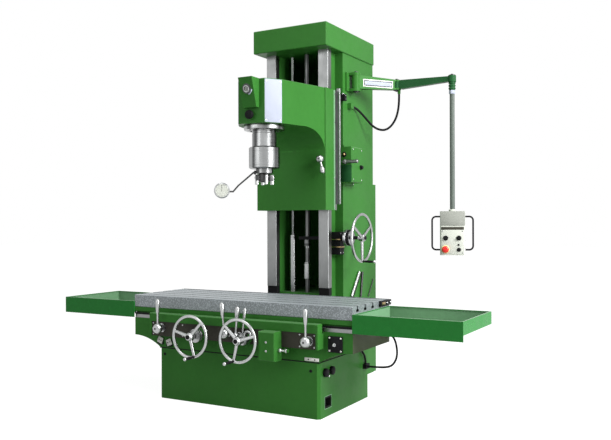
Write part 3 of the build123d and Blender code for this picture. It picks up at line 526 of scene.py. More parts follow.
def iron_finish(name, colour):
    """Scraped cast iron: flaked scraping marks on the sides, a smoother pale top."""
    tree, shader, place = start_finish(name)
    flakes = add(tree, "TexVoronoi", {"Vector": place, "Scale": 110.0, "Randomness": 1.0})
    specks = grain(tree, place, 190, 2)
    mixed = add(tree, "Math", {0: flakes.outputs["Distance"], 1: specks}, operation="ADD").outputs[0]
    sides = blend_colours(tree, spread(tree, mixed, 0.60, 1.10), shade(colour, 1.4), shade(colour, 0.7))
    top = blend_colours(tree, spread(tree, specks, 0.35, 0.7), shade(colour, 1.25), shade(colour, 0.95))
    tone = blend_colours(tree, facing(tree, 2), sides, top)
    stains = spread(tree, grain(tree, place, 3, 4), 0.45, 0.8, 0, 0.25)
    tone = blend_colours(tree, stains, tone, shade(colour, 0.6))
    paint(tree, shader, tone, spread(tree, specks, 0.3, 0.7, 0.34, 0.58))
    shader.inputs["Metallic"].default_value = 0.35
    relief(tree, shader, mixed, 0.25, 0.0012)


def plastic_finish(name, colour, roughness, scale=60, contrast=1.0, shine=0.45):
    """Moulded plastic or rubber: a faint mottle, moulded texture and rubbed spots."""
    tree, shader, place = start_finish(name)
    mottle = grain(tree, place, scale, 3)
    rubbed = spread(tree, grain(tree, place, 14, 4), 0.5, 0.8)
    dark, light = shade(colour, 1 - 0.25 * contrast), shade(colour, 1 + 0.35 * contrast)
    tone = blend_colours(tree, mottle, dark, light)
    tone = blend_colours(tree, times(tree, rubbed, 0.3 * contrast), tone, shade(colour, 1.8))
    paint(tree, shader, tone, spread(tree, mottle, 0.3, 0.7, roughness * 0.8, roughness * 1.2))
    shader.inputs["Specular IOR Level"].default_value = shine
    relief(tree, shader, grain(tree, place, scale * 6, 2), 0.1, 0.0005)


class BORING_OT_finishes(bpy.types.Operator):
    """Make the finishes and put them on the CAD pieces."""

    bl_idname = "boring.finishes"
    bl_label = "Finishes"

    def execute(self, context):
        colours = context.scene.machine_colours
        enamel_finish("enamel", colours.enamel, 0.36, 0.35)
        enamel_finish("bed_enamel_shaded_end", colours.enamel, 0.36, 0.35, colours.bed_end)
        enamel_finish("tray_enamel", colours.tray, 0.24, 0.9)
        enamel_finish("plate_paint", colours.plate, 0.42, 0.2)
        enamel_finish("dark_enamel_and_shade", colours.dark_green, 0.34, 0.5)
        enamel_finish("pale_green_and_sheen", colours.lining, 0.40, 0.1)
        enamel_finish("pale_paint", colours.pale, 0.42, 0.2)
        steel_finish("steel", colours.steel, 0.28)
        banded_finish("turned_steel", colours.steel, 0.26)
        steel_finish("ground_steel", shade(colours.steel, 0.57), 0.33, (3, 3, 0.2))
        steel_finish("dim_steel", shade(colours.steel, 0.42), 0.36, (1, 1, 0.2), 0.05)
        steel_finish("dark_steel", shade(colours.steel, 0.16), 0.38)
        steel_finish("bronze", colours.bronze, 0.35)
        iron_finish("scraped_iron", colours.iron)
        plastic_finish("black_plastic", shade(colours.black, 1.2), 0.50, 16, 0.6, shine=0.05)
        plastic_finish("rubber", shade(colours.black, 1.1), 0.6, 30, shine=0.06)
        plastic_finish("label_white", colours.label, 0.50, 8, 0.3, shine=0.10)
        plastic_finish("white_enamel", colours.white, 0.50, 8, 0.3, shine=0.10)
        plastic_finish("tube_paint", colours.tube, 0.38, 8, 0.6, shine=0.25)
        plastic_finish("black_paint", shade(colours.black, 1.3), 0.50, 12, 0.6, shine=0.06)
        plastic_finish("hood_paint", shade(colours.pale, 0.50), 0.42, 12, 0.5, shine=0.25)
        plastic_finish("red_plastic", colours.red, 0.30)
        plastic_finish("yellow_plastic", colours.yellow, 0.40)
        coats = {
            "green_paint": "enamel",
            "bright_steel": "steel",
            "cast_table": "scraped_iron",
            "tray_paint": "tray_enamel",
            "panel_paint": "plate_paint",
            "grey_paint": "pale_paint",
            "black_plastic": "black_plastic",
            "cable_rubber": "rubber",
        }
        special = {
            "gear_case": "black_paint",
            "shaft_bracket": "black_paint",
            "splined_shaft": "dim_steel",
            # The outer arm's darker green is painted shade
            "outer_arm": "dark_enamel_and_shade",
            # The bed's right end takes a painted shade
            "bed": "bed_enamel_shaded_end",
        }
        special.update(dict.fromkeys(("column_ways", "bed_ways", "trip_bar", "keepers"), "ground_steel"))
        for part in frame["record"]["subparts"]:
            node = frame["nodes"][part["node"]]
            wanted = special.get(part["node"], coats[part["material_slot"]])
            node.data.materials[0] = finish_named(wanted)
        return {"FINISHED"}


# Handwheels, collars and levers


def handwheel(node, centre, way, radius, turn):
    """A spoked wheel with a turned handle at the end of the spoke at this turn from the top."""
    sizes = bpy.context.scene.machine_sizes
    centre, way = Vector(centre), Vector(way)
    rim = radius - sizes.rim
    hub = [(-0.023, 0.019), (-0.012, 0.024), (0.010, 0.024), (0.017, 0.019), (0.022, 0.018)]
    cap = [(0.020, 0.0125), (0.0255, 0.0125), (0.027, 0.010)]
    parts = [
        hoop(centre, way, rim, sizes.rim, "steel"),
        turned(centre, way, hub, "steel", edge=0.002),
        turned(centre, way, cap, "black_plastic", sides=24),
    ]
    for step in range(SPOKES):
        spoke = [(0.012, sizes.spoke * 1.35), (0.03, sizes.spoke * 1.15)]
        spoke += [(rim - 0.012, sizes.spoke), (rim - 0.004, sizes.spoke * 0.88)]
        parts.append(turned(centre, tilted(way, turn + 360 / SPOKES * step), spoke, "steel", sides=20))
    knob, tip = 0.0105, 0.0855
    root = centre + tilted(way, turn) * rim
    stem = [(0.0, 0.0075), (0.014, 0.0075), (0.018, 0.0052), (0.022, 0.0065), (tip - 0.03, 0.0088)]
    parts.append(turned(root, way, stem + [(tip - 0.008, 0.0068)], "black_plastic", sides=24))
    parts.append(turned(root + way * tip, way, ball(knob), "steel", sides=24))
    finished(parts, node + "_spoked", node, "bright_steel", node)


class BORING_OT_handwheels(bpy.types.Operator):
    """Build the two handwheels on the apron and the one on the column's side."""

    bl_idname = "boring.handwheels"
    bl_label = "Handwheels"

    def execute(self, context):
        handwheel("handwheel_1", (FIRST_WHEEL_X, -0.468, WHEEL_HEIGHT), FRONT, 0.125, 196)
        handwheel("handwheel_2", (SECOND_WHEEL_X, -0.468, WHEEL_HEIGHT), FRONT, 0.125, 167)
        handwheel("side_wheel", (0.415, 0.512, 0.962), RIGHT, 0.160, 180)
        return {"FINISHED"}


def lever(node, hub, tilt, hub_radius, length):
    """A lever with a ball hub, a stem that thickens outwards and a rounded grip."""
    sizes = bpy.context.scene.machine_sizes
    grip = sizes.grip
    stem = [(hub_radius * 0.6, sizes.stem), (length * 0.5, sizes.stem * 1.15), (length * 0.53, grip * 0.72)]
    for back, share in ((2.2, 1.0), (0.9, 0.95), (0.3, 0.66), (0.0, 0.2)):
        stem.append((length - grip * back, grip * share))
    plug = [(hub_radius * 0.8, 0.006), (hub_radius * 0.9, 0.006)]
    parts = [
        turned(hub, FRONT, ball(hub_radius, -0.8, 0.86), "steel"),
        turned(hub, tilted(FRONT, tilt), stem, "steel", sides=24),
        turned(hub, FRONT, plug, "dark_steel", sides=12),
    ]
    finished(parts, node + "_ball", node, "bright_steel", node)


def bar_lever(node, hub, tilt, hub_radius, length):
    """A lever whose even round bar runs from a button hub to a rounded end."""
    thick = bpy.context.scene.machine_sizes.grip * 0.85
    bar = [(-hub_radius, thick * 0.6), (-hub_radius + 0.004, thick), (length - 0.005, thick)]
    parts = [
        turned(hub, tilted(FRONT, tilt), bar + [(length, thick * 0.6)], "dim_steel", sides=24),
        turned(hub, FRONT, ball(hub_radius, -0.8, 0.86), "dim_steel", sides=24),
    ]
    finished(parts, node + "_bar", node, "bright_steel", node)


class BORING_OT_levers(bpy.types.Operator):
    """Build the four levers on the apron, the feed box's lever and the carriage's clamp lever."""

    bl_idname = "boring.levers"
    bl_label = "Levers"

    def execute(self, context):
        for number, (x, z, tilt, radius, length, _) in enumerate(APRON_LEVERS, 1):
            lever("lever_" + str(number), (x, -0.422, z), tilt, radius, length)
        bar_lever("feed_lever", (0.3025, 0.492, 1.454), -90, 0.0165, 0.096)
        lever("clamp_lever", (0.228, 0.291, 1.462), -166, 0.024, 0.096)
        return {"FINISHED"}


def graduated(start, way, radius, length):
    """A collar whose outer half has dark graduation marks, each one side of every four."""
    sides, inner = 144, radius * 0.98
    stations = [(0, radius), (length * 0.55, radius), (length * 0.6, inner), (length, inner)]
    piece = turned((0, 0, 0), UP, stations, "steel", sides=sides)
    piece.data.materials.append(finish_named("dark_steel"))
    for face in piece.data.polygons:
        side = round((math.atan2(face.center.y, face.center.x) / math.tau) * sides - 0.5)
        if abs(face.normal.z) < 0.5 and face.center.z > length * 0.7 and side % 4 == 0:
            face.material_index = 1
    return aim(piece, start, way)


class BORING_OT_bearings(bpy.types.Operator):
    """Build the bosses, graduated collars and pivots on the apron."""

    bl_idname = "boring.bearings"
    bl_label = "Apron bearings"

    def execute(self, context):
        collar = context.scene.machine_sizes.collar
        parts = []
        nut = [(0.0, 0.020), (0.010, 0.020), (0.011, 0.0108), (0.030, 0.0108)]
        for x, share in ((FIRST_WHEEL_X, 1.0), (SECOND_WHEEL_X, 0.75)):
            wide, narrow = 0.044 * share, 0.033 * share
            boss = [(0, wide), (0.010, wide), (0.012, narrow), (0.026, narrow)]
            parts.append(turned((x, -0.374, WHEEL_HEIGHT), FRONT, boss, "enamel", edge=0.0015))
            parts.append(graduated((x, -0.398, WHEEL_HEIGHT), FRONT, collar * share, 0.026))
            parts.append(turned((x, -0.424, WHEEL_HEIGHT), FRONT, nut, "steel", sides=24))
        for x, z, _, _, _, flange in APRON_LEVERS:
            pivot = [(0, flange), (0.008, flange), (0.009, 0.0098), (0.040, 0.0098)]
            parts.append(turned((x, -0.378, z), FRONT, pivot, "steel", sides=24))
        parts += short_lever()
        finished(parts, "wheel_bearings", "saddle", "bright_steel", "apron_bearings")
        return {"FINISHED"}


def short_lever():
    """The locking lever between the second wheel and its collar, and the silver elbow beside it."""
    x, z, bend, elbow_z = 0.150, 0.428, 0.020, 0.440
    elbow = hoop((x, -0.412, elbow_z), FRONT, bend, 0.006, "steel", 48)
    cut_away(elbow, lambda centre, normal: centre.z < elbow_z + 0.001)
    foot = [(0, 0.0075), (0.040, 0.0075), (0.043, 0.005)]
    feet = [turned((x + side * bend, -0.376, elbow_z), FRONT, foot, "steel", 16) for side in (-1, 1)]
    hub = turned((0.100, -0.377, z), FRONT, [(0, 0.013), (0.016, 0.013), (0.019, 0.009)], "steel", 24)
    stem = [(0, 0.0065), (0.10, 0.0055), (0.104, 0.0085), (0.150, 0.009), (0.156, 0.005)]
    return [turned((0.100, -0.389, z), (0.017, 0, 0.14), stem, "steel", 16), hub, elbow] + feet


# Spindle head


class BORING_OT_spindle_housing(bpy.types.Operator):
    """Build the flange, the quill and the drum under the headstock."""

    bl_idname = "boring.spindle_housing"
    bl_label = "Spindle housing"

    def execute(self, context):
        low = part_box("spindle_flange")[0].z
        ring = [(0, 0.121), (0.002, 0.124), (0.0295, 0.124)]
        flange = turned((0, 0, low), UP, ring, "turned_steel", FINE_SIDES, 0.001)
        angles = [step * math.tau / 6 for step in range(6)]
        holes = [(0.096 * math.cos(angle), 0.096 * math.sin(angle), low) for angle in angles]
        bolts = screws(holes, DOWN, 0.0045, "dark_steel")
        finished([flange] + bolts, "flange_ring", "head", "bright_steel", "spindle_flange")

        low, high = (corner.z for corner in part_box("quill"))
        tall, wide, narrow = high - low, 0.0745, 0.071
        rings = [(0, 0.066), (0.004, wide), (tall - 0.020, wide), (tall - 0.018, narrow), (tall, narrow)]
        quill = turned((0, 0, low), UP, rings, "turned_steel", FINE_SIDES)
        finished([quill], "quill_sleeve", "head", "bright_steel", "quill")

        low, high = (corner.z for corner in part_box("drum"))
        tall, wide, narrow = high - low, 0.094, 0.0925
        rings = [(0, 0.086), (0.006, wide)]
        for groove in (0.016, tall - 0.028):
            rings += [(groove, wide), (groove + 0.0005, narrow)]
            rings += [(groove + 0.003, narrow), (groove + 0.0035, wide)]
        rings += [(tall - 0.005, wide), (tall, 0.089)]
        drum = turned((0, 0, low), UP, rings, "turned_steel", FINE_SIDES)
        finished([drum], "drum_housing", "head", "bright_steel", "drum")
        return {"FINISHED"}


class BORING_OT_spindle(bpy.types.Operator):
    """Build the spindle's nose, its cutter head and the centring gauge."""

    bl_idname = "boring.spindle"
    bl_label = "Spindle"

    def execute(self, context):
        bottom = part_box("spindle_nose")[0].z
        ring = [(0, 0.048), (0.003, 0.053), (0.0288, 0.053), (0.0295, 0.051)]
        nose = turned((0, 0, bottom), UP, ring, "turned_steel")
        finished([nose], "nose_ring", "spindle", "bright_steel", "spindle_nose")
        core = [(0, 0.034), (0.046, 0.034), (0.052, 0.028)]
        head = [turned((0, 0, bottom), DOWN, core, "dark_steel", edge=0.001)]
        for degrees in (45, 135, 225, 315):
            head += cutter(Matrix.Rotation(math.radians(degrees), 3, UP) @ RIGHT, bottom)
        finished(head, "cutters", "spindle", "bright_steel", "cutter_head")
        finished(gauge_parts(), "gauge_dial", "spindle", "bright_steel", "centring_gauge")
        return {"FINISHED"}


def gauge_parts():
    """The centring gauge: a bent rod from the nose to a dial with a ring of marks and a needle."""
    knees = ((-0.052, 1.366), (-0.066, 1.366), (-0.158, 1.287), (-0.190, 1.250), (-0.214, 1.250))
    parts = []
    for (x, z), (next_x, next_z) in zip(knees, knees[1:]):
        run = Vector((next_x - x, 0, next_z - z))
        parts.append(turned((x, 0, z), run, [(0, 0.0052), (run.length, 0.0048)], "dark_steel", 12))
        parts.append(turned((next_x, 0, next_z), UP, ball(0.0053), "dark_steel", 12))
    foot = [(-0.001, 0.012), (0.010, 0.012), (0.012, 0.008)]
    parts.append(turned((-0.052, 0, 1.366), LEFT, foot, "dark_steel", 16))
    bezel = [(0, 0.040), (0.003, 0.0475), (0.020, 0.0475), (0.024, 0.043), (0.0232, 0.039)]
    parts.append(turned(GAUGE_DIAL - FRONT * 0.012, FRONT, bezel, "steel", edge=0.0006))
    dial = [(-0.001, 0.039), (0.0004, 0.039)]
    parts.append(turned(GAUGE_DIAL + FRONT * 0.0112, FRONT, dial, "pale_paint"))
    stud = [(-0.002, 0.006), (0.0035, 0.006), (0.004, 0.0045)]
    parts.append(turned(GAUGE_DIAL + UP * 0.046, UP, stud, "steel", 12))
    mark = block((-0.2586, -0.2574), (-0.0120, -0.0114), (1.287, 1.293), "black_plastic", 0.0001)
    for step in range(12):
        tick = copied(mark, [(0, 0, 0), (0, 0, 0)])[1]
        parts.append(turn_about(tick, GAUGE_DIAL, "Y", math.tau * step / 12))
    parts.append(turn_about(mark, GAUGE_DIAL, "Y", math.tau / 24))
    parts.append(block((-0.2590, -0.2570), (-0.0126, -0.0120), (1.250, 1.288), "black_plastic", 0.0001))
    return [turn_about(piece, (0, 0, 0), "Z", GAUGE_TURN) for piece in parts]


def cutter(out, top):
    """One tool holder of the cutter head: an arm, a foot that points down and its clamping screw."""
    arm = block((0.018, 0.056), (-0.009, 0.009), (-0.044, -0.006), "dark_steel", 0.002)
    foot = block((0.038, 0.057), (-0.0085, 0.0085), (-0.067, -0.012), "steel", 0.0015)
    turn = Matrix((out, UP.cross(out), UP)).transposed().to_4x4()
    placed = [moved(piece, Matrix.Translation((0, 0, top)) @ turn) for piece in (arm, foot)]
    return placed + [screw(Vector((0, 0, top - 0.024)) + out * 0.057, out, 0.006)]


class BORING_OT_head_fittings(bpy.types.Operator):
    """Build the nose plates, the dial and the knob on the headstock, and the carriage's gib strip."""

    bl_idname = "boring.head_fittings"
    bl_label = "Head fittings"

    def execute(self, context):
        for side, name in ((-1, "left"), (1, "right")):
            nose_plate(side, name)
        finished(dial_parts(), "dial_ring", "head", "bright_steel", "dial")
        gib = block((0.2598, 0.2616), (0.4185, 0.4365), (1.1418, 1.9122), "pale_green_and_sheen", 0.0006)
        places = [(0.2614, 0.4275, 1.165 + 0.18 * step) for step in range(5)]
        finished([gib] + screws(places, RIGHT, 0.0042), "carriage_gib", "head", "green_paint")
        root = middle("front_knob")
        root.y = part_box("front_knob")[1].y
        stations = [(0, 0.016), (0.008, 0.016), (0.010, 0.026)]
        stations += [(0.022, 0.027), (0.028, 0.024), (0.030, 0.018)]
        knob = turned(root, FRONT, stations, "black_plastic")
        finished([knob], "head_knob", "head", "black_plastic", "front_knob")
        return {"FINISHED"}


def dial_parts():
    """The dial on the sloping panel: a bezel, a bare face, a dark seat and a pale crescent round it that
    paints a highlight.
    """
    face = Vector((0, -1, -0.2907)).normalized()
    base = middle("dial") - face * 0.0045
    # The pale crescent paints a highlight on the lower right of the dial's seat
    highlight_crescent = hoop(base + face * 0.0015, face, 0.0335, 0.0036, "white_enamel", 48)
    top, left = base.z - 0.007, base.x + 0.008
    cut_away(highlight_crescent, lambda centre, normal: centre.z > top or centre.x < left)
    return [
        turned(base, face, [(0, 0.021), (0.007, 0.021), (0.009, 0.0185), (0.0085, 0.0165)], "steel"),
        turned(base + face * 0.0075, face, [(0, 0.017), (0.001, 0.017)], "pale_paint"),
        turned(base, face, [(0, 0.030), (0.0012, 0.030), (0.0016, 0.028)], "dark_steel"),
        highlight_crescent,
    ]


def nose_plate(side, name):
    """A white plate that covers one chamfer of the headstock's nose, held by small screws."""
    inner, outer = Vector((side * 0.092, -0.142, 0)), Vector((side * 0.155, -0.045, 0))
    start, end = (inner, outer) if side > 0 else (outer, inner)
    along = (end - start).normalized()
    out = along.cross(UP)
    width = (end - start).length
    low, high = 1.6535, 1.9085
    plate = block((0.002, width - 0.002), (-0.0016, 0.0004), (low, high), "white_enamel", 0.0006)
    turn = Matrix((along, -out, UP)).transposed().to_4x4()
    moved(plate, Matrix.Translation(start) @ turn)
    # The left plate starts at its outer edge, so its screws all stand there
    spots = (start.lerp(outer, 0.1), start.lerp(outer, 0.9))
    places = [spot + out * 0.0012 + UP * z for spot in spots for z in (low + 0.012, high - 0.012)]
    finished([plate] + screws(places, out, 0.0035), "nose_plate_" + name, "head", "grey_paint")


# Bed, base and apron


def holed_plate(x, z, half_width, half_height, turn, front=-0.3245):
    """A white plate on the front of the bed, with two dark holes, turned about its middle."""
    width, height = (x - half_width, x + half_width), (z - half_height, z + half_height)
    plate = block(width, (front - 0.003, front + 0.0004), height, "label_white")
    hole = [(-0.001, 0.0042), (0.0004, 0.0042)]
    spots = [(x + side * half_width * 0.45, front - 0.003, z) for side in (-1, 1)]
    parts = [plate] + copied(turned(spots[0], FRONT, hole, "black_plastic", 16), spots)
    return [turn_about(piece, (x, front, z), "Y", math.radians(turn)) for piece in parts]


class BORING_OT_bed_fittings(bpy.types.Operator):
    """Build the small plates on the bed's front and the screws of the apron's plate."""

    bl_idname = "boring.bed_fittings"
    bl_label = "Bed fittings"

    def execute(self, context):
        parts = []
        for x, z, turn in ((-0.545, 0.351, 22), (-0.477, 0.341, -22)):
            depth, height = (-0.3250, -0.3196), (z - 0.026, z + 0.014)
            parts.append(block((x - 0.023, x + 0.023), depth, height, "black_plastic", 0.001))
            parts += holed_plate(x, z, 0.019, 0.019, turn)
        parts += holed_plate(0.5045, 0.3205, 0.0435, 0.0090, 0, -0.3205)
        finished(parts, "bed_plates", "saddle", "grey_paint")
        columns = (-0.552, 0.552, -0.330, 0.235, 0.463)
        places = [(x, -0.3776, z) for x in columns for z in (0.397, 0.460)]
        finished(screws(places, FRONT, 0.0046), "apron_screws", "saddle", "bright_steel")
        return {"FINISHED"}


class BORING_OT_controls(bpy.types.Operator):
    """Build the switch on the bed and the bolts and plunger of the control box."""

    bl_idname = "boring.controls"
    bl_label = "Switch and control box"

    def execute(self, context):
        low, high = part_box("switch_plate")
        plate = block((low.x, high.x), (-0.328, high.y), (low.z, high.z), "black_plastic", 0.003)
        margin = 0.018
        width, height = (low.x + margin, high.x - margin), (low.z + margin, high.z - margin)
        well = block(width, (-0.3296, -0.3275), height, "black_paint", 0.0009)
        stations = [(0, 0.009), (0.002, 0.009), (0.003, 0.005), (0.012, 0.0062), (0.0128, 0.004)]
        knob = turned((0.646, -0.3290, 0.411), FRONT, stations, "steel", 24)
        columns, rows = (low.x + 0.010, high.x - 0.009), (low.z + 0.009, high.z - 0.009)
        bolts = screws([(x, -0.3276, z) for x in columns for z in rows], FRONT, 0.0045, "label_white")
        finished([plate, well, knob] + bolts, "bed_switch", "saddle", "black_plastic", "switch_plate")

        y, z = -0.412, 0.3721
        shaft = [(0.0, 0.0085), (0.006, 0.0085), (0.0065, 0.0062), (0.046, 0.0062)]
        parts = [turned((0.3479, y, z), RIGHT, shaft, "steel", 24)]
        parts += [turned((x, y, z), RIGHT, ball(0.0112), "steel", 24) for x in (0.3985, 0.3600)]
        bolts = screws([(0.295, -0.4498, bolt_z) for bolt_z in (0.369, 0.416)], FRONT, 0.0062)
        finished(parts + bolts, "control_plunger", "saddle", "bright_steel")
        return {"FINISHED"}


class BORING_OT_base_fittings(bpy.types.Operator):
    """Build a dark strip under the bed that paints the shadow line above the base, the base's knobs and
    plugs, and dark boxes in its lifting pockets that paint their shade.
    """

    bl_idname = "boring.base_fittings"
    bl_label = "Base fittings"

    def execute(self, context):
        # A thin dark strip paints the shadow line between the bed and the base
        gap_shade = block((-0.5517, 0.5517), (-0.3227, 0.3072), (0.3026, 0.3076), "rubber", 0.0003)
        finished([gap_shade], "bed_gap_shade", "frame", "cable_rubber")
        end = 0.5508
        knob = [(0, 0.018), (0.004, 0.018), (0.005, 0.0235)]
        knob += [(0.017, 0.0235), (0.020, 0.019), (0.021, 0.010)]
        spots = [(end, -0.262, 0.245), (end, -0.187, 0.245)]
        knobs = copied(turned(spots[0], RIGHT, knob, "black_plastic", 32), spots)
        pin = [(0, 0.006), (0.010, 0.006), (0.012, 0.004)]
        knobs.append(turned((end, -0.2245, 0.220), RIGHT, pin, "steel", 16))
        finished(knobs, "base_knobs", "frame", "black_plastic")
        plug = [(-0.001, 0.0085), (0.0015, 0.0085), (0.002, 0.0065), (0.0005, 0.0055)]
        spots = [(0.499, -0.3219, 0.258), (-0.511, -0.3219, 0.268)]
        plugs = copied(turned(spots[0], FRONT, plug, "black_plastic", 24), spots)
        finished(plugs, "base_plugs", "frame", "black_plastic")
        for side, name in ((-1, "left"), (1, "right")):
            finished(pocket_liner(side), "lift_pocket_shade_" + name, "frame", "black_plastic")
        return {"FINISHED"}


def pocket_liner(side):
    """A black box inside one lifting pocket in the base's end that paints the pocket's shade, with a pale
    rim of four strips.
    """
    y, z = (-0.2609, -0.1831), (0.0461, 0.1099)
    x = sorted((side * 0.5113, side * 0.5514))
    # The black box paints the shade inside the pocket
    shade_box = block(x, y, z, "black_paint", 0.0078)
    sink(shade_box, lambda centre, normal: normal.x * side > 0.99, 0.0016, (-side * 0.0375, 0, 0))
    rim_x, strip = sorted((side * 0.5508, side * 0.5522)), 0.004
    wide = (y[0] - strip, y[1] + strip)
    places = [(wide, (low, low + strip)) for low in (z[0] - strip, z[1])]
    places += [((low, low + strip), z) for low in (y[0] - strip, y[1])]
    return [shade_box] + [block(rim_x, across, up, "pale_green_and_sheen", 0.0004) for across, up in places]


# Table and trays


class BORING_OT_trays(bpy.types.Operator):
    """Build pale sheets inside the two trays that paint the sheen on their glossy insides."""

    bl_idname = "boring.trays"
    bl_label = "Tray linings"

    def execute(self, context):
        for side, name in ((-1, "left"), (1, "right")):
            x = sorted((side * 0.7531, side * 1.3429))
            # A pale sheet inside the tray paints the reflection on its glossy floor and walls
            tub = block(x, (-0.3259, 0.1639), (0.5122, 0.5739), "pale_green_and_sheen", 0.0008)
            sink(tub, lambda centre, normal: normal.z > 0.99, 0.0010, (0, 0, -0.0605))
            finished([tub], "tray_painted_sheen_" + name, "table", "tray_paint")
        return {"FINISHED"}


class BORING_OT_table_fittings(bpy.types.Operator):
    """Build dark sheets on the floors and sides of the table's slots that paint the shade in them, the way
    wipers and the end stop.
    """

    bl_idname = "boring.table_fittings"
    bl_label = "Table fittings"

    def execute(self, context):
        pitch, length = 0.097, (-0.7495, 0.7495)
        first = -0.068 - 2 * pitch
        spots = [(0, first + step * pitch, 0) for step in range(5)]
        parts = []
        # Dark sheets on each slot's floor and sides paint the shade deep in the slot
        for front, back, height in (
            (-0.0158, 0.0158, (0.5851, 0.5862)),
            (0.0150, 0.0159, (0.5864, 0.5988)),
            (-0.0159, -0.0150, (0.5864, 0.5988)),
        ):
            lining = block(length, (first + front, first + back), height, "dark_steel", 0.0003)
            parts += copied(lining, spots)
        finished(parts, "slot_shade", "table", "cast_table")
        depth, height = (-0.3248, -0.3226), (0.4990, 0.5100)
        wipers = [block((x, x + 0.170), depth, height, "rubber", 0.0006) for x in (-0.7497, 0.5797)]
        finished(wipers, "way_wipers", "table", "cable_rubber")
        stop = block((0.7502, 0.7640), (0.016, 0.163), (0.586, 0.6165), "black_paint", 0.002)
        pad = block((0.7636, 0.7665), (0.030, 0.075), (0.594, 0.609), "bronze", 0.001)
        nuts = screws([(0.7638, y, 0.601) for y in (0.100, 0.145)], RIGHT, 0.007)
        finished([stop, pad] + nuts, "table_stop", "table", "cast_table")
        return {"FINISHED"}


# Column


class BORING_OT_lifting_screw(bpy.types.Operator):
    """Build the lifting screw's thread and foot tube, and the sleeve on the splined shaft."""

    bl_idname = "boring.lifting_screw"
    bl_label = "Lifting screw"

    def execute(self, context):
        pitch = context.scene.machine_sizes.thread
        low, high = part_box("feed_screw")
        axis, first_turn = Vector((-0.092, 0.500, 0)), 0.974
        tube = [(0, 0.023), (0.362, 0.023), (0.363, 0.0215), (0.368, 0.0215)]
        tube += [(0.369, 0.023), (0.378, 0.023), (0.380, 0.020)]
        crest, root = 0.0120, 0.0098
        thread = [(0.0, 0.0100)]
        for turn in range(int((high.z - first_turn) / pitch)):
            start = turn * pitch
            thread += [(start + pitch * 0.30, crest), (start + pitch * 0.55, crest)]
            thread.append((start + pitch * 0.85, root))
        parts = [
            turned(axis + UP * low.z, UP, tube, "turned_steel", FINE_SIDES),
            turned(axis + UP * first_turn, UP, thread, "steel", 20),
        ]
        finished(parts, "lifting_thread", "frame", "bright_steel", "feed_screw")

        axis = Vector((0.030, 0.480, 0))
        sleeve = [(0, 0.020), (0.002, 0.0224), (0.100, 0.0224), (0.102, 0.019), (0.108, 0.0165)]
        cup = [(0, 0.0155), (0.004, 0.0214), (0.018, 0.0214)]
        cup += [(0.019, 0.019), (0.030, 0.019), (0.044, 0.0214)]
        nut = [(0, 0.0158), (0.012, 0.0158)]
        parts = [
            turned(axis + UP * 0.6895, UP, sleeve, "steel"),
            turned(axis + UP * 0.9055, UP, cup, "dark_steel"),
            turned(axis + UP * 0.8930, UP, nut, "steel", 6),
        ]
        finished(parts, "shaft_sleeve", "frame", "bright_steel")
        return {"FINISHED"}


class BORING_OT_column_fittings(bpy.types.Operator):
    """Build what stands on the gear case, feed box and limit switch, and rods on the column's side."""

    bl_idname = "boring.column_fittings"
    bl_label = "Column fittings"

    def execute(self, context):
        finished(gear_case_parts(), "gear_case_bands", "frame", "bright_steel")
        finished(feed_box_parts(), "feed_box_fittings", "frame", "bright_steel")
        rods = [
            side_rod((0.2725, 0.772, 0.726), (0.2725, 0.646, 0.568), 0.0100, "steel"),
            # This dark rod, offset from the steel rod onto the column's side, paints the steel rod's shadow
            side_rod((0.2705, 0.792, 0.712), (0.2705, 0.668, 0.556), 0.0060, "rubber"),
            side_rod((0.2665, 1.012, 0.660), (0.2665, 0.926, 0.545), 0.0040, "dark_steel"),
            side_rod((0.2705, 0.823, 0.723), (0.2705, 0.795, 0.552), 0.0080, "dark_steel"),
        ]
        finished(rods, "column_rods", "frame", "bright_steel")
        lid = block((0.2918, 0.2938), (0.516, 0.540), (1.860, 1.894), "black_paint", 0.0009)
        stations = [(-0.001, 0.010), (0.006, 0.010), (0.008, 0.006)]
        cap = turned((0.271, 0.528, 1.8978), UP, stations, "steel", 20)
        switch = [lid, cap] + screws([(0.2936, 0.528, z) for z in (1.865, 1.889)], RIGHT, 0.003)
        finished(switch, "limit_switch_lid", "frame", "black_plastic")
        return {"FINISHED"}


def gear_case_parts():
    """The gear case's two bronze bands and corner screws, and the collar behind the side handwheel."""
    width, depth = (0.2046, 0.2737), (0.4803, 0.5438)
    bands = [block(width, depth, (z - 0.003, z + 0.003), "bronze", 0.0008) for z in (0.902, 0.951)]
    corners = screws([(0.2678, y, z) for y in (0.497, 0.533) for z in (0.866, 0.987)], RIGHT, 0.0042)
    rings = [(0.0, 0.050), (0.002, 0.0527), (0.016, 0.0527)]
    rings += [(0.017, 0.0515), (0.038, 0.0515), (0.0412, 0.047)]
    collar = turned((0.2992, 0.512, 0.962), RIGHT, rings, "steel", FINE_SIDES)
    return bands + corners + [collar]


def feed_box_parts():
    """The feed box's screws and knob on its side, and a dark plate and a button on its front."""
    places = [(0.3418, y, z) for y in (0.534, 0.660) for z in (1.340, 1.536)]
    parts = screws(places, RIGHT, 0.0048)
    parts += screws([(0.2688, 0.685, z) for z in (1.318, 1.438, 1.558)], RIGHT, 0.0042)
    knob = [(-0.0005, 0.016), (0.004, 0.016), (0.005, 0.012), (0.014, 0.013), (0.017, 0.009)]
    parts.append(turned((0.342, 0.649, 1.425), RIGHT, knob, "black_plastic", 24))
    front, x, z = 0.516, 0.2875, 1.504
    depth = (front - 0.0014, front + 0.0003)
    parts.append(block((0.2655, 0.3395), depth, (1.3255, 1.436), "dark_enamel_and_shade", 0.0006))
    seat = [(0, 0.016), (0.003, 0.016), (0.004, 0.014)]
    parts.append(turned((x, front + 0.0005, z), FRONT, seat, "black_plastic", 24))
    button = [(0, 0.0085), (0.006, 0.0085), (0.009, 0.005)]
    parts.append(turned((x, front - 0.0030, z), FRONT, button, "bronze", 24))
    return parts


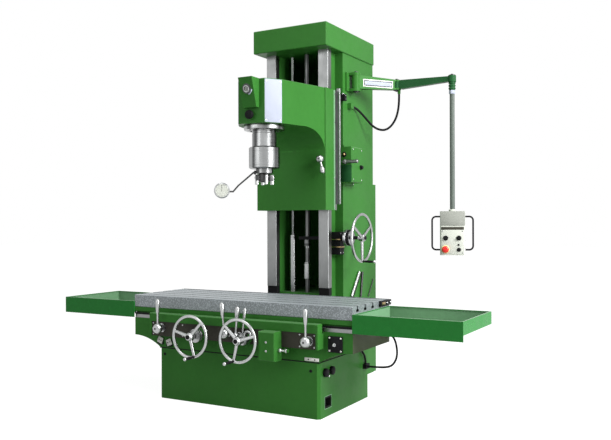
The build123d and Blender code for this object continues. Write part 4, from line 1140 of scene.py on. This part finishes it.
def side_rod(start, end, radius, finish):
    """A round rod with rounded ends on the column's side."""
    run = Vector(end) - Vector(start)
    stations = [(0, radius * 0.6), (radius * 0.3, radius), (run.length - radius * 0.3, radius)]
    return turned(start, run, stations + [(run.length, radius * 0.6)], finish, 20)


# Arms


def on_inner_arm(piece):
    """Move a piece that was made along X from the origin to the inner arm's line from the shoulder."""
    along = (ELBOW - SHOULDER).normalized()
    turn = Matrix((along, UP.cross(along), UP)).transposed().to_4x4()
    return moved(piece, Matrix.Translation(SHOULDER) @ turn)


class BORING_OT_arm_fittings(bpy.types.Operator):
    """Build the plate on the inner arm and the caps of the arms' pins."""

    bl_idname = "boring.arm_fittings"
    bl_label = "Arm fittings"

    def execute(self, context):
        rim = block((0.042, 0.266), (-0.0246, -0.0226), (1.963, 2.013), "label_white", 0.0008)
        groove = block((0.048, 0.260), (-0.0249, -0.0240), (1.9695, 2.0065), "black_paint", 0.0003)
        plate = block((0.053, 0.255), (-0.0254, -0.0240), (1.9745, 2.0015), "white_enamel", 0.0004)
        pins = screws([(x, -0.0252, 1.988) for x in (0.060, 0.248)], FRONT, 0.004)
        parts = [on_inner_arm(piece) for piece in [rim, groove, plate] + pins]
        finished(parts, "arm_plate", "inner_arm", "grey_paint")
        cap = [(-0.001, 0.0225), (0.003, 0.0225), (0.005, 0.020), (0.006, 0.009), (0.011, 0.008)]
        elbow = [
            turned(ELBOW + UP * 2.0245, UP, cap, "dark_steel", 32),
            turned(ELBOW + UP * 1.9595, DOWN, cap, "dark_steel", 32),
        ]
        finished(elbow, "elbow_caps", "inner_arm", "bright_steel")
        shoulder = [
            turned(SHOULDER + UP * 2.053, UP, cap, "dark_steel", 32),
            turned(SHOULDER + UP * 1.931, DOWN, cap, "dark_steel", 32),
        ]
        bolts = screws([(0.270, y, z) for y in (0.594, 0.686) for z in (1.950, 2.034)], RIGHT, 0.006)
        finished(shoulder + bolts, "shoulder_caps", "frame", "bright_steel")
        end = turned(ARM_END + UP * 2.013, UP, cap, "dark_steel", 32)
        finished([end], "end_cap", "outer_arm", "bright_steel")
        return {"FINISHED"}


# Pendant


def pendant_place(x, y, z):
    """A point given from the pendant's axis, across and in front of its box."""
    return ARM_END + UP * z + Matrix.Rotation(PENDANT_TURN, 3, "Z") @ Vector((x, y, 0))


class BORING_OT_pendant(bpy.types.Operator):
    """Build the pendant's tube, plate, buttons and screws."""

    bl_idname = "boring.pendant"
    bl_label = "Pendant"

    def execute(self, context):
        finished(pendant_stem(), "pendant_stem", "pendant", "grey_paint", "pendant_tube")
        lid = block((-0.072, 0.072), (-0.049, -0.045), (0.856, 1.030), "pale_paint")
        strip = block((-0.072, 0.072), (-0.0496, -0.045), (1.012, 1.030), "plate_paint")
        hood = block((-0.0785, 0.0785), (-0.0497, 0.0455), (1.040, 1.1322), "hood_paint", 0.003)
        turn = Matrix.Translation(ARM_END) @ Matrix.Rotation(PENDANT_TURN, 4, "Z")
        covers = [moved(piece, turn) for piece in (lid, strip, hood)]
        front = Matrix.Rotation(PENDANT_TURN, 3, "Z") @ FRONT
        corners = [pendant_place(x, -0.049, z) for x in (-0.064, 0.064) for z in (0.864, 1.004)]
        finished(covers + screws(corners, front, 0.004), "pendant_plate", "pendant", "grey_paint")
        finished(controls_on(front), "pendant_controls", "pendant", "black_plastic", "pendant_buttons")
        return {"FINISHED"}


def pendant_stem():
    """The pendant's stem: a pin, a ribbed fitting, a white nut, the tube and a collar."""
    rings = []
    for drop in (0.0, 0.018, 0.036):
        rings += [(drop + 0.0005, 0.021), (drop + 0.002, 0.023), (drop + 0.010, 0.023)]
        rings += [(drop + 0.012, 0.019), (drop + 0.0175, 0.019)]
    nut, tube = [(0, 0.021), (0.024, 0.021)], [(0, 0.016), (0.761, 0.016)]
    collar, pin = [(0, 0.020), (0.004, 0.024), (0.0129, 0.024)], [(0, 0.0109), (0.028, 0.0109)]
    return [
        turned(ARM_END + UP * 1.971, DOWN, rings, "dark_enamel_and_shade", 32),
        turned(ARM_END + UP * 1.917, DOWN, nut, "white_enamel", 6, 0.0015),
        turned(ARM_END + UP * 1.893, DOWN, tube, "tube_paint", 32),
        turned(ARM_END + UP * 1.145, DOWN, collar, "pale_paint", 32),
        turned(ARM_END + UP * 1.9705, UP, pin, "steel", 24),
    ]


def controls_on(front):
    """The pendant's two knobs, its stop button on a ring, a cap and a small dark lamp."""
    knob = [(0, 0.016), (0.003, 0.016), (0.0035, 0.012), (0.014, 0.0115), (0.0155, 0.010)]
    stop = [(0.006, 0.011), (0.012, 0.011), (0.013, 0.021)]
    stop += [(0.016, 0.022), (0.020, 0.019), (0.0225, 0.012)]
    ring = [(0, 0.026), (0.004, 0.026), (0.006, 0.022), (0.007, 0.012)]
    cap = [(0, 0.013), (0.003, 0.013), (0.0035, 0.010), (0.008, 0.010), (0.009, 0.008)]
    light = [(0, 0.007), (0.003, 0.007), (0.006, 0.004)]
    controls = (
        (-0.044, 0.959, knob, "black_plastic", 24),
        (0.040, 0.959, knob, "black_plastic", 24),
        (-0.046, 0.886, stop, "red_plastic", 32),
        (-0.046, 0.886, ring, "yellow_plastic", 32),
        (0.040, 0.884, cap, "black_plastic", 24),
        (0.038, 0.915, light, "black_plastic", 16),
    )
    return [
        turned(pendant_place(x, -0.049, z), front, stations, finish, sides)
        for x, z, stations, finish, sides in controls
    ]


# Cords


class BORING_OT_cords(bpy.types.Operator):
    """Lay the pendant's conduit and the two cables behind the bed."""

    bl_idname = "boring.cords"
    bl_label = "Cords"

    def execute(self, context):
        conduit = (
            (0.277, 0.652, 1.834), (0.277, 0.716, 1.834), (0.303, 0.776, 1.790), (0.352, 0.862, 1.700),
            (0.430, 0.918, 1.694), (0.496, 0.948, 1.815), (0.519, 0.886, 1.936),
        )
        long_cable = (
            (0.575, 0.240, 0.197), (0.672, 0.240, 0.197), (0.766, 0.186, 0.226),
            (0.800, 0.178, 0.305), (0.768, 0.178, 0.420), (0.702, 0.178, 0.420),
        )
        short_cable = (
            (0.563, 0.240, 0.211), (0.563, 0.240, 0.255), (0.562, 0.177, 0.305), (0.562, 0.177, 0.350),
        )
        cord("arm_conduit_line", "arm_conduit", conduit, 0.0075)
        cord("bed_cable_long", "bed_cable_1", long_cable, 0.006)
        cord("bed_cable_short", "bed_cable_2", short_cable, 0.006)
        return {"FINISHED"}


def cord(name, node, points, radius):
    """A cord on a smooth curve with these points, in place of its CAD node."""
    curve = bpy.data.curves.new(name + "_line", "CURVE")
    curve.dimensions = "3D"
    line = curve.splines.new("NURBS")
    line.points.add(len(points) - 1)
    for point, place in zip(line.points, points):
        point.co = (*place, 1)
    line.order_u = 3
    line.use_endpoint_u = True
    line.resolution_u = 12
    curve.bevel_depth = radius
    curve.bevel_resolution = 4
    curve.use_fill_caps = True
    piece = bpy.data.objects.new(name, curve)
    bpy.context.scene.collection.objects.link(piece)
    bpy.context.view_layer.update()
    bare = curve.copy()
    bare.bevel_depth = 0
    probe = bpy.data.objects.new(name + "_probe", bare)
    mesh = bpy.data.meshes.new_from_object(probe)
    bpy.data.objects.remove(probe)
    only(piece)
    bpy.ops.object.convert(target="MESH")
    piece = bpy.context.object
    piece.name = name
    coat(piece, "rubber")
    bpy.ops.object.shade_smooth()
    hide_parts(node)
    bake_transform(piece)


# Stage


def lamp(name, place, target, size, power):
    """A square soft lamp aimed at a point."""
    data = bpy.data.lights.new(name, "AREA")
    data.shape = "SQUARE"
    data.size = size
    data.energy = power
    made = bpy.data.objects.new(name, data)
    bpy.context.scene.collection.objects.link(made)
    made.location = place
    made.rotation_euler = (Vector(target) - Vector(place)).to_track_quat("-Z", "Y").to_euler()


def seen_share(tree):
    """One for a ray that is seen straight, in a mirror or through glass, and zero for any other."""
    path = add(tree, "LightPath")
    seen = path.outputs["Is Camera Ray"]
    for kind in ("Is Glossy Ray", "Is Transmission Ray"):
        seen = add(tree, "Math", {0: seen, 1: path.outputs[kind]}, operation="MAXIMUM").outputs[0]
    return seen


def white_world(ambient):
    """A white background, with a plain grey light from all round."""
    world = bpy.data.worlds.new("Studio")
    world.use_nodes = True
    bpy.context.scene.world = world
    tree = world.node_tree
    around = add(tree, "Background", {"Color": (1, 1, 1, 1), "Strength": ambient})
    white = add(tree, "Background", {"Color": (1, 1, 1, 1), "Strength": 1.0})
    mixer = add(tree, "MixShader", {0: seen_share(tree), 1: around.outputs[0], 2: white.outputs[0]})
    tree.links.new(mixer.outputs[0], tree.nodes["World Output"].inputs["Surface"])


def floor_finish(glow):
    """A white floor that keeps the object's shadow as a pale grey."""
    material = bpy.data.materials.new("floor_white")
    material.use_nodes = True
    tree = material.node_tree
    tree.nodes.remove(tree.nodes["Principled BSDF"])
    mottle = grain(tree, add(tree, "TexCoord").outputs["Object"], 3, 3)
    grey = blend_colours(tree, mottle, (0.30, 0.30, 0.30), (0.33, 0.33, 0.33))
    dull = add(tree, "BsdfDiffuse", {"Color": grey})
    bright = add(tree, "Emission", {"Color": (1, 1, 1, 1), "Strength": glow})
    both = add(tree, "AddShader", {0: dull.outputs[0], 1: bright.outputs[0]})
    mixer = add(tree, "MixShader", {0: seen_share(tree), 1: dull.outputs[0], 2: both.outputs[0]})
    tree.links.new(mixer.outputs[0], tree.nodes["Material Output"].inputs["Surface"])
    return material


class BORING_OT_stage(bpy.types.Operator):
    """Set the floor, the lamps, the background and the camera."""

    bl_idname = "boring.stage"
    bl_label = "Stage"

    def execute(self, context):
        settings = context.scene.machine_stage
        bpy.ops.mesh.primitive_plane_add(size=60, location=(0, 0, -0.0005))
        floor = settle(context.object)
        floor.name = "floor"
        floor.data.materials.append(floor_finish(settings.floor))
        lamp("key", (5.2, -0.6, 3.6), (0.1, 0.1, 1.0), 2.4, settings.key)
        lamp("fill", (-2.2, -5.2, 2.8), (0, 0, 1.0), 3.0, settings.fill)
        lamp("side", (4.6, -1.2, 0.9), (0.5, 0, 0.4), 1.4, settings.side)
        lamp("top", (0.6, -0.8, 5.4), (0, 0, 0.6), 3.0, settings.top)
        white_world(settings.ambient)

        # The camera was fitted to edges of the machine in the photograph
        data = bpy.data.cameras.new("Camera")
        data.sensor_width = 36
        data.lens = settings.lens
        data.shift_x = 0.000885
        data.shift_y = 0.005419
        camera = bpy.data.objects.new("Camera", data)
        context.scene.collection.objects.link(camera)
        camera.location = (2.46306, -3.85480, 1.05237)
        camera.rotation_euler = [math.radians(angle) for angle in (90.0482, 0.1637, 29.4871)]
        context.scene.camera = camera
        context.scene.view_settings.view_transform = "Standard"
        return {"FINISHED"}


class BORING_PT_machine(bpy.types.Panel):
    """Shows the settings and the building steps in the sidebar of the 3D view."""

    bl_idname = "BORING_PT_machine"
    bl_label = "Boring machine"
    bl_space_type = "VIEW_3D"
    bl_region_type = "UI"
    bl_category = "Boring machine"

    def draw(self, context):
        scene = context.scene
        for group in (scene.machine_sizes, scene.machine_colours, scene.machine_stage):
            box = self.layout.box()
            for name in group.bl_rna.properties.keys():
                if name not in ("rna_type", "name"):
                    box.prop(group, name)
        for operator in OPERATORS:
            self.layout.operator(operator.bl_idname)


GROUPS = (MachineColours, MachineSizes, MachineStage)
OPERATORS = (
    BORING_OT_finishes,
    BORING_OT_handwheels,
    BORING_OT_levers,
    BORING_OT_bearings,
    BORING_OT_spindle_housing,
    BORING_OT_spindle,
    BORING_OT_head_fittings,
    BORING_OT_bed_fittings,
    BORING_OT_controls,
    BORING_OT_base_fittings,
    BORING_OT_trays,
    BORING_OT_table_fittings,
    BORING_OT_lifting_screw,
    BORING_OT_column_fittings,
    BORING_OT_arm_fittings,
    BORING_OT_pendant,
    BORING_OT_cords,
    BORING_OT_stage,
)


def register():
    """Register the settings, the operators and the panel."""
    for one in GROUPS + OPERATORS + (BORING_PT_machine,):
        bpy.utils.register_class(one)
    bpy.types.Scene.machine_colours = bpy.props.PointerProperty(type=MachineColours)
    bpy.types.Scene.machine_sizes = bpy.props.PointerProperty(type=MachineSizes)
    bpy.types.Scene.machine_stage = bpy.props.PointerProperty(type=MachineStage)


def unregister():
    """Take the settings, the operators and the panel away again."""
    del bpy.types.Scene.machine_colours, bpy.types.Scene.machine_sizes, bpy.types.Scene.machine_stage
    for one in reversed(GROUPS + OPERATORS + (BORING_PT_machine,)):
        bpy.utils.unregister_class(one)


def main():
    """Build every piece."""
    register()
    for operator in OPERATORS:
        group, name = operator.bl_idname.split(".")
        getattr(getattr(bpy.ops, group), name)()


if __name__ == "__main__":
    main()
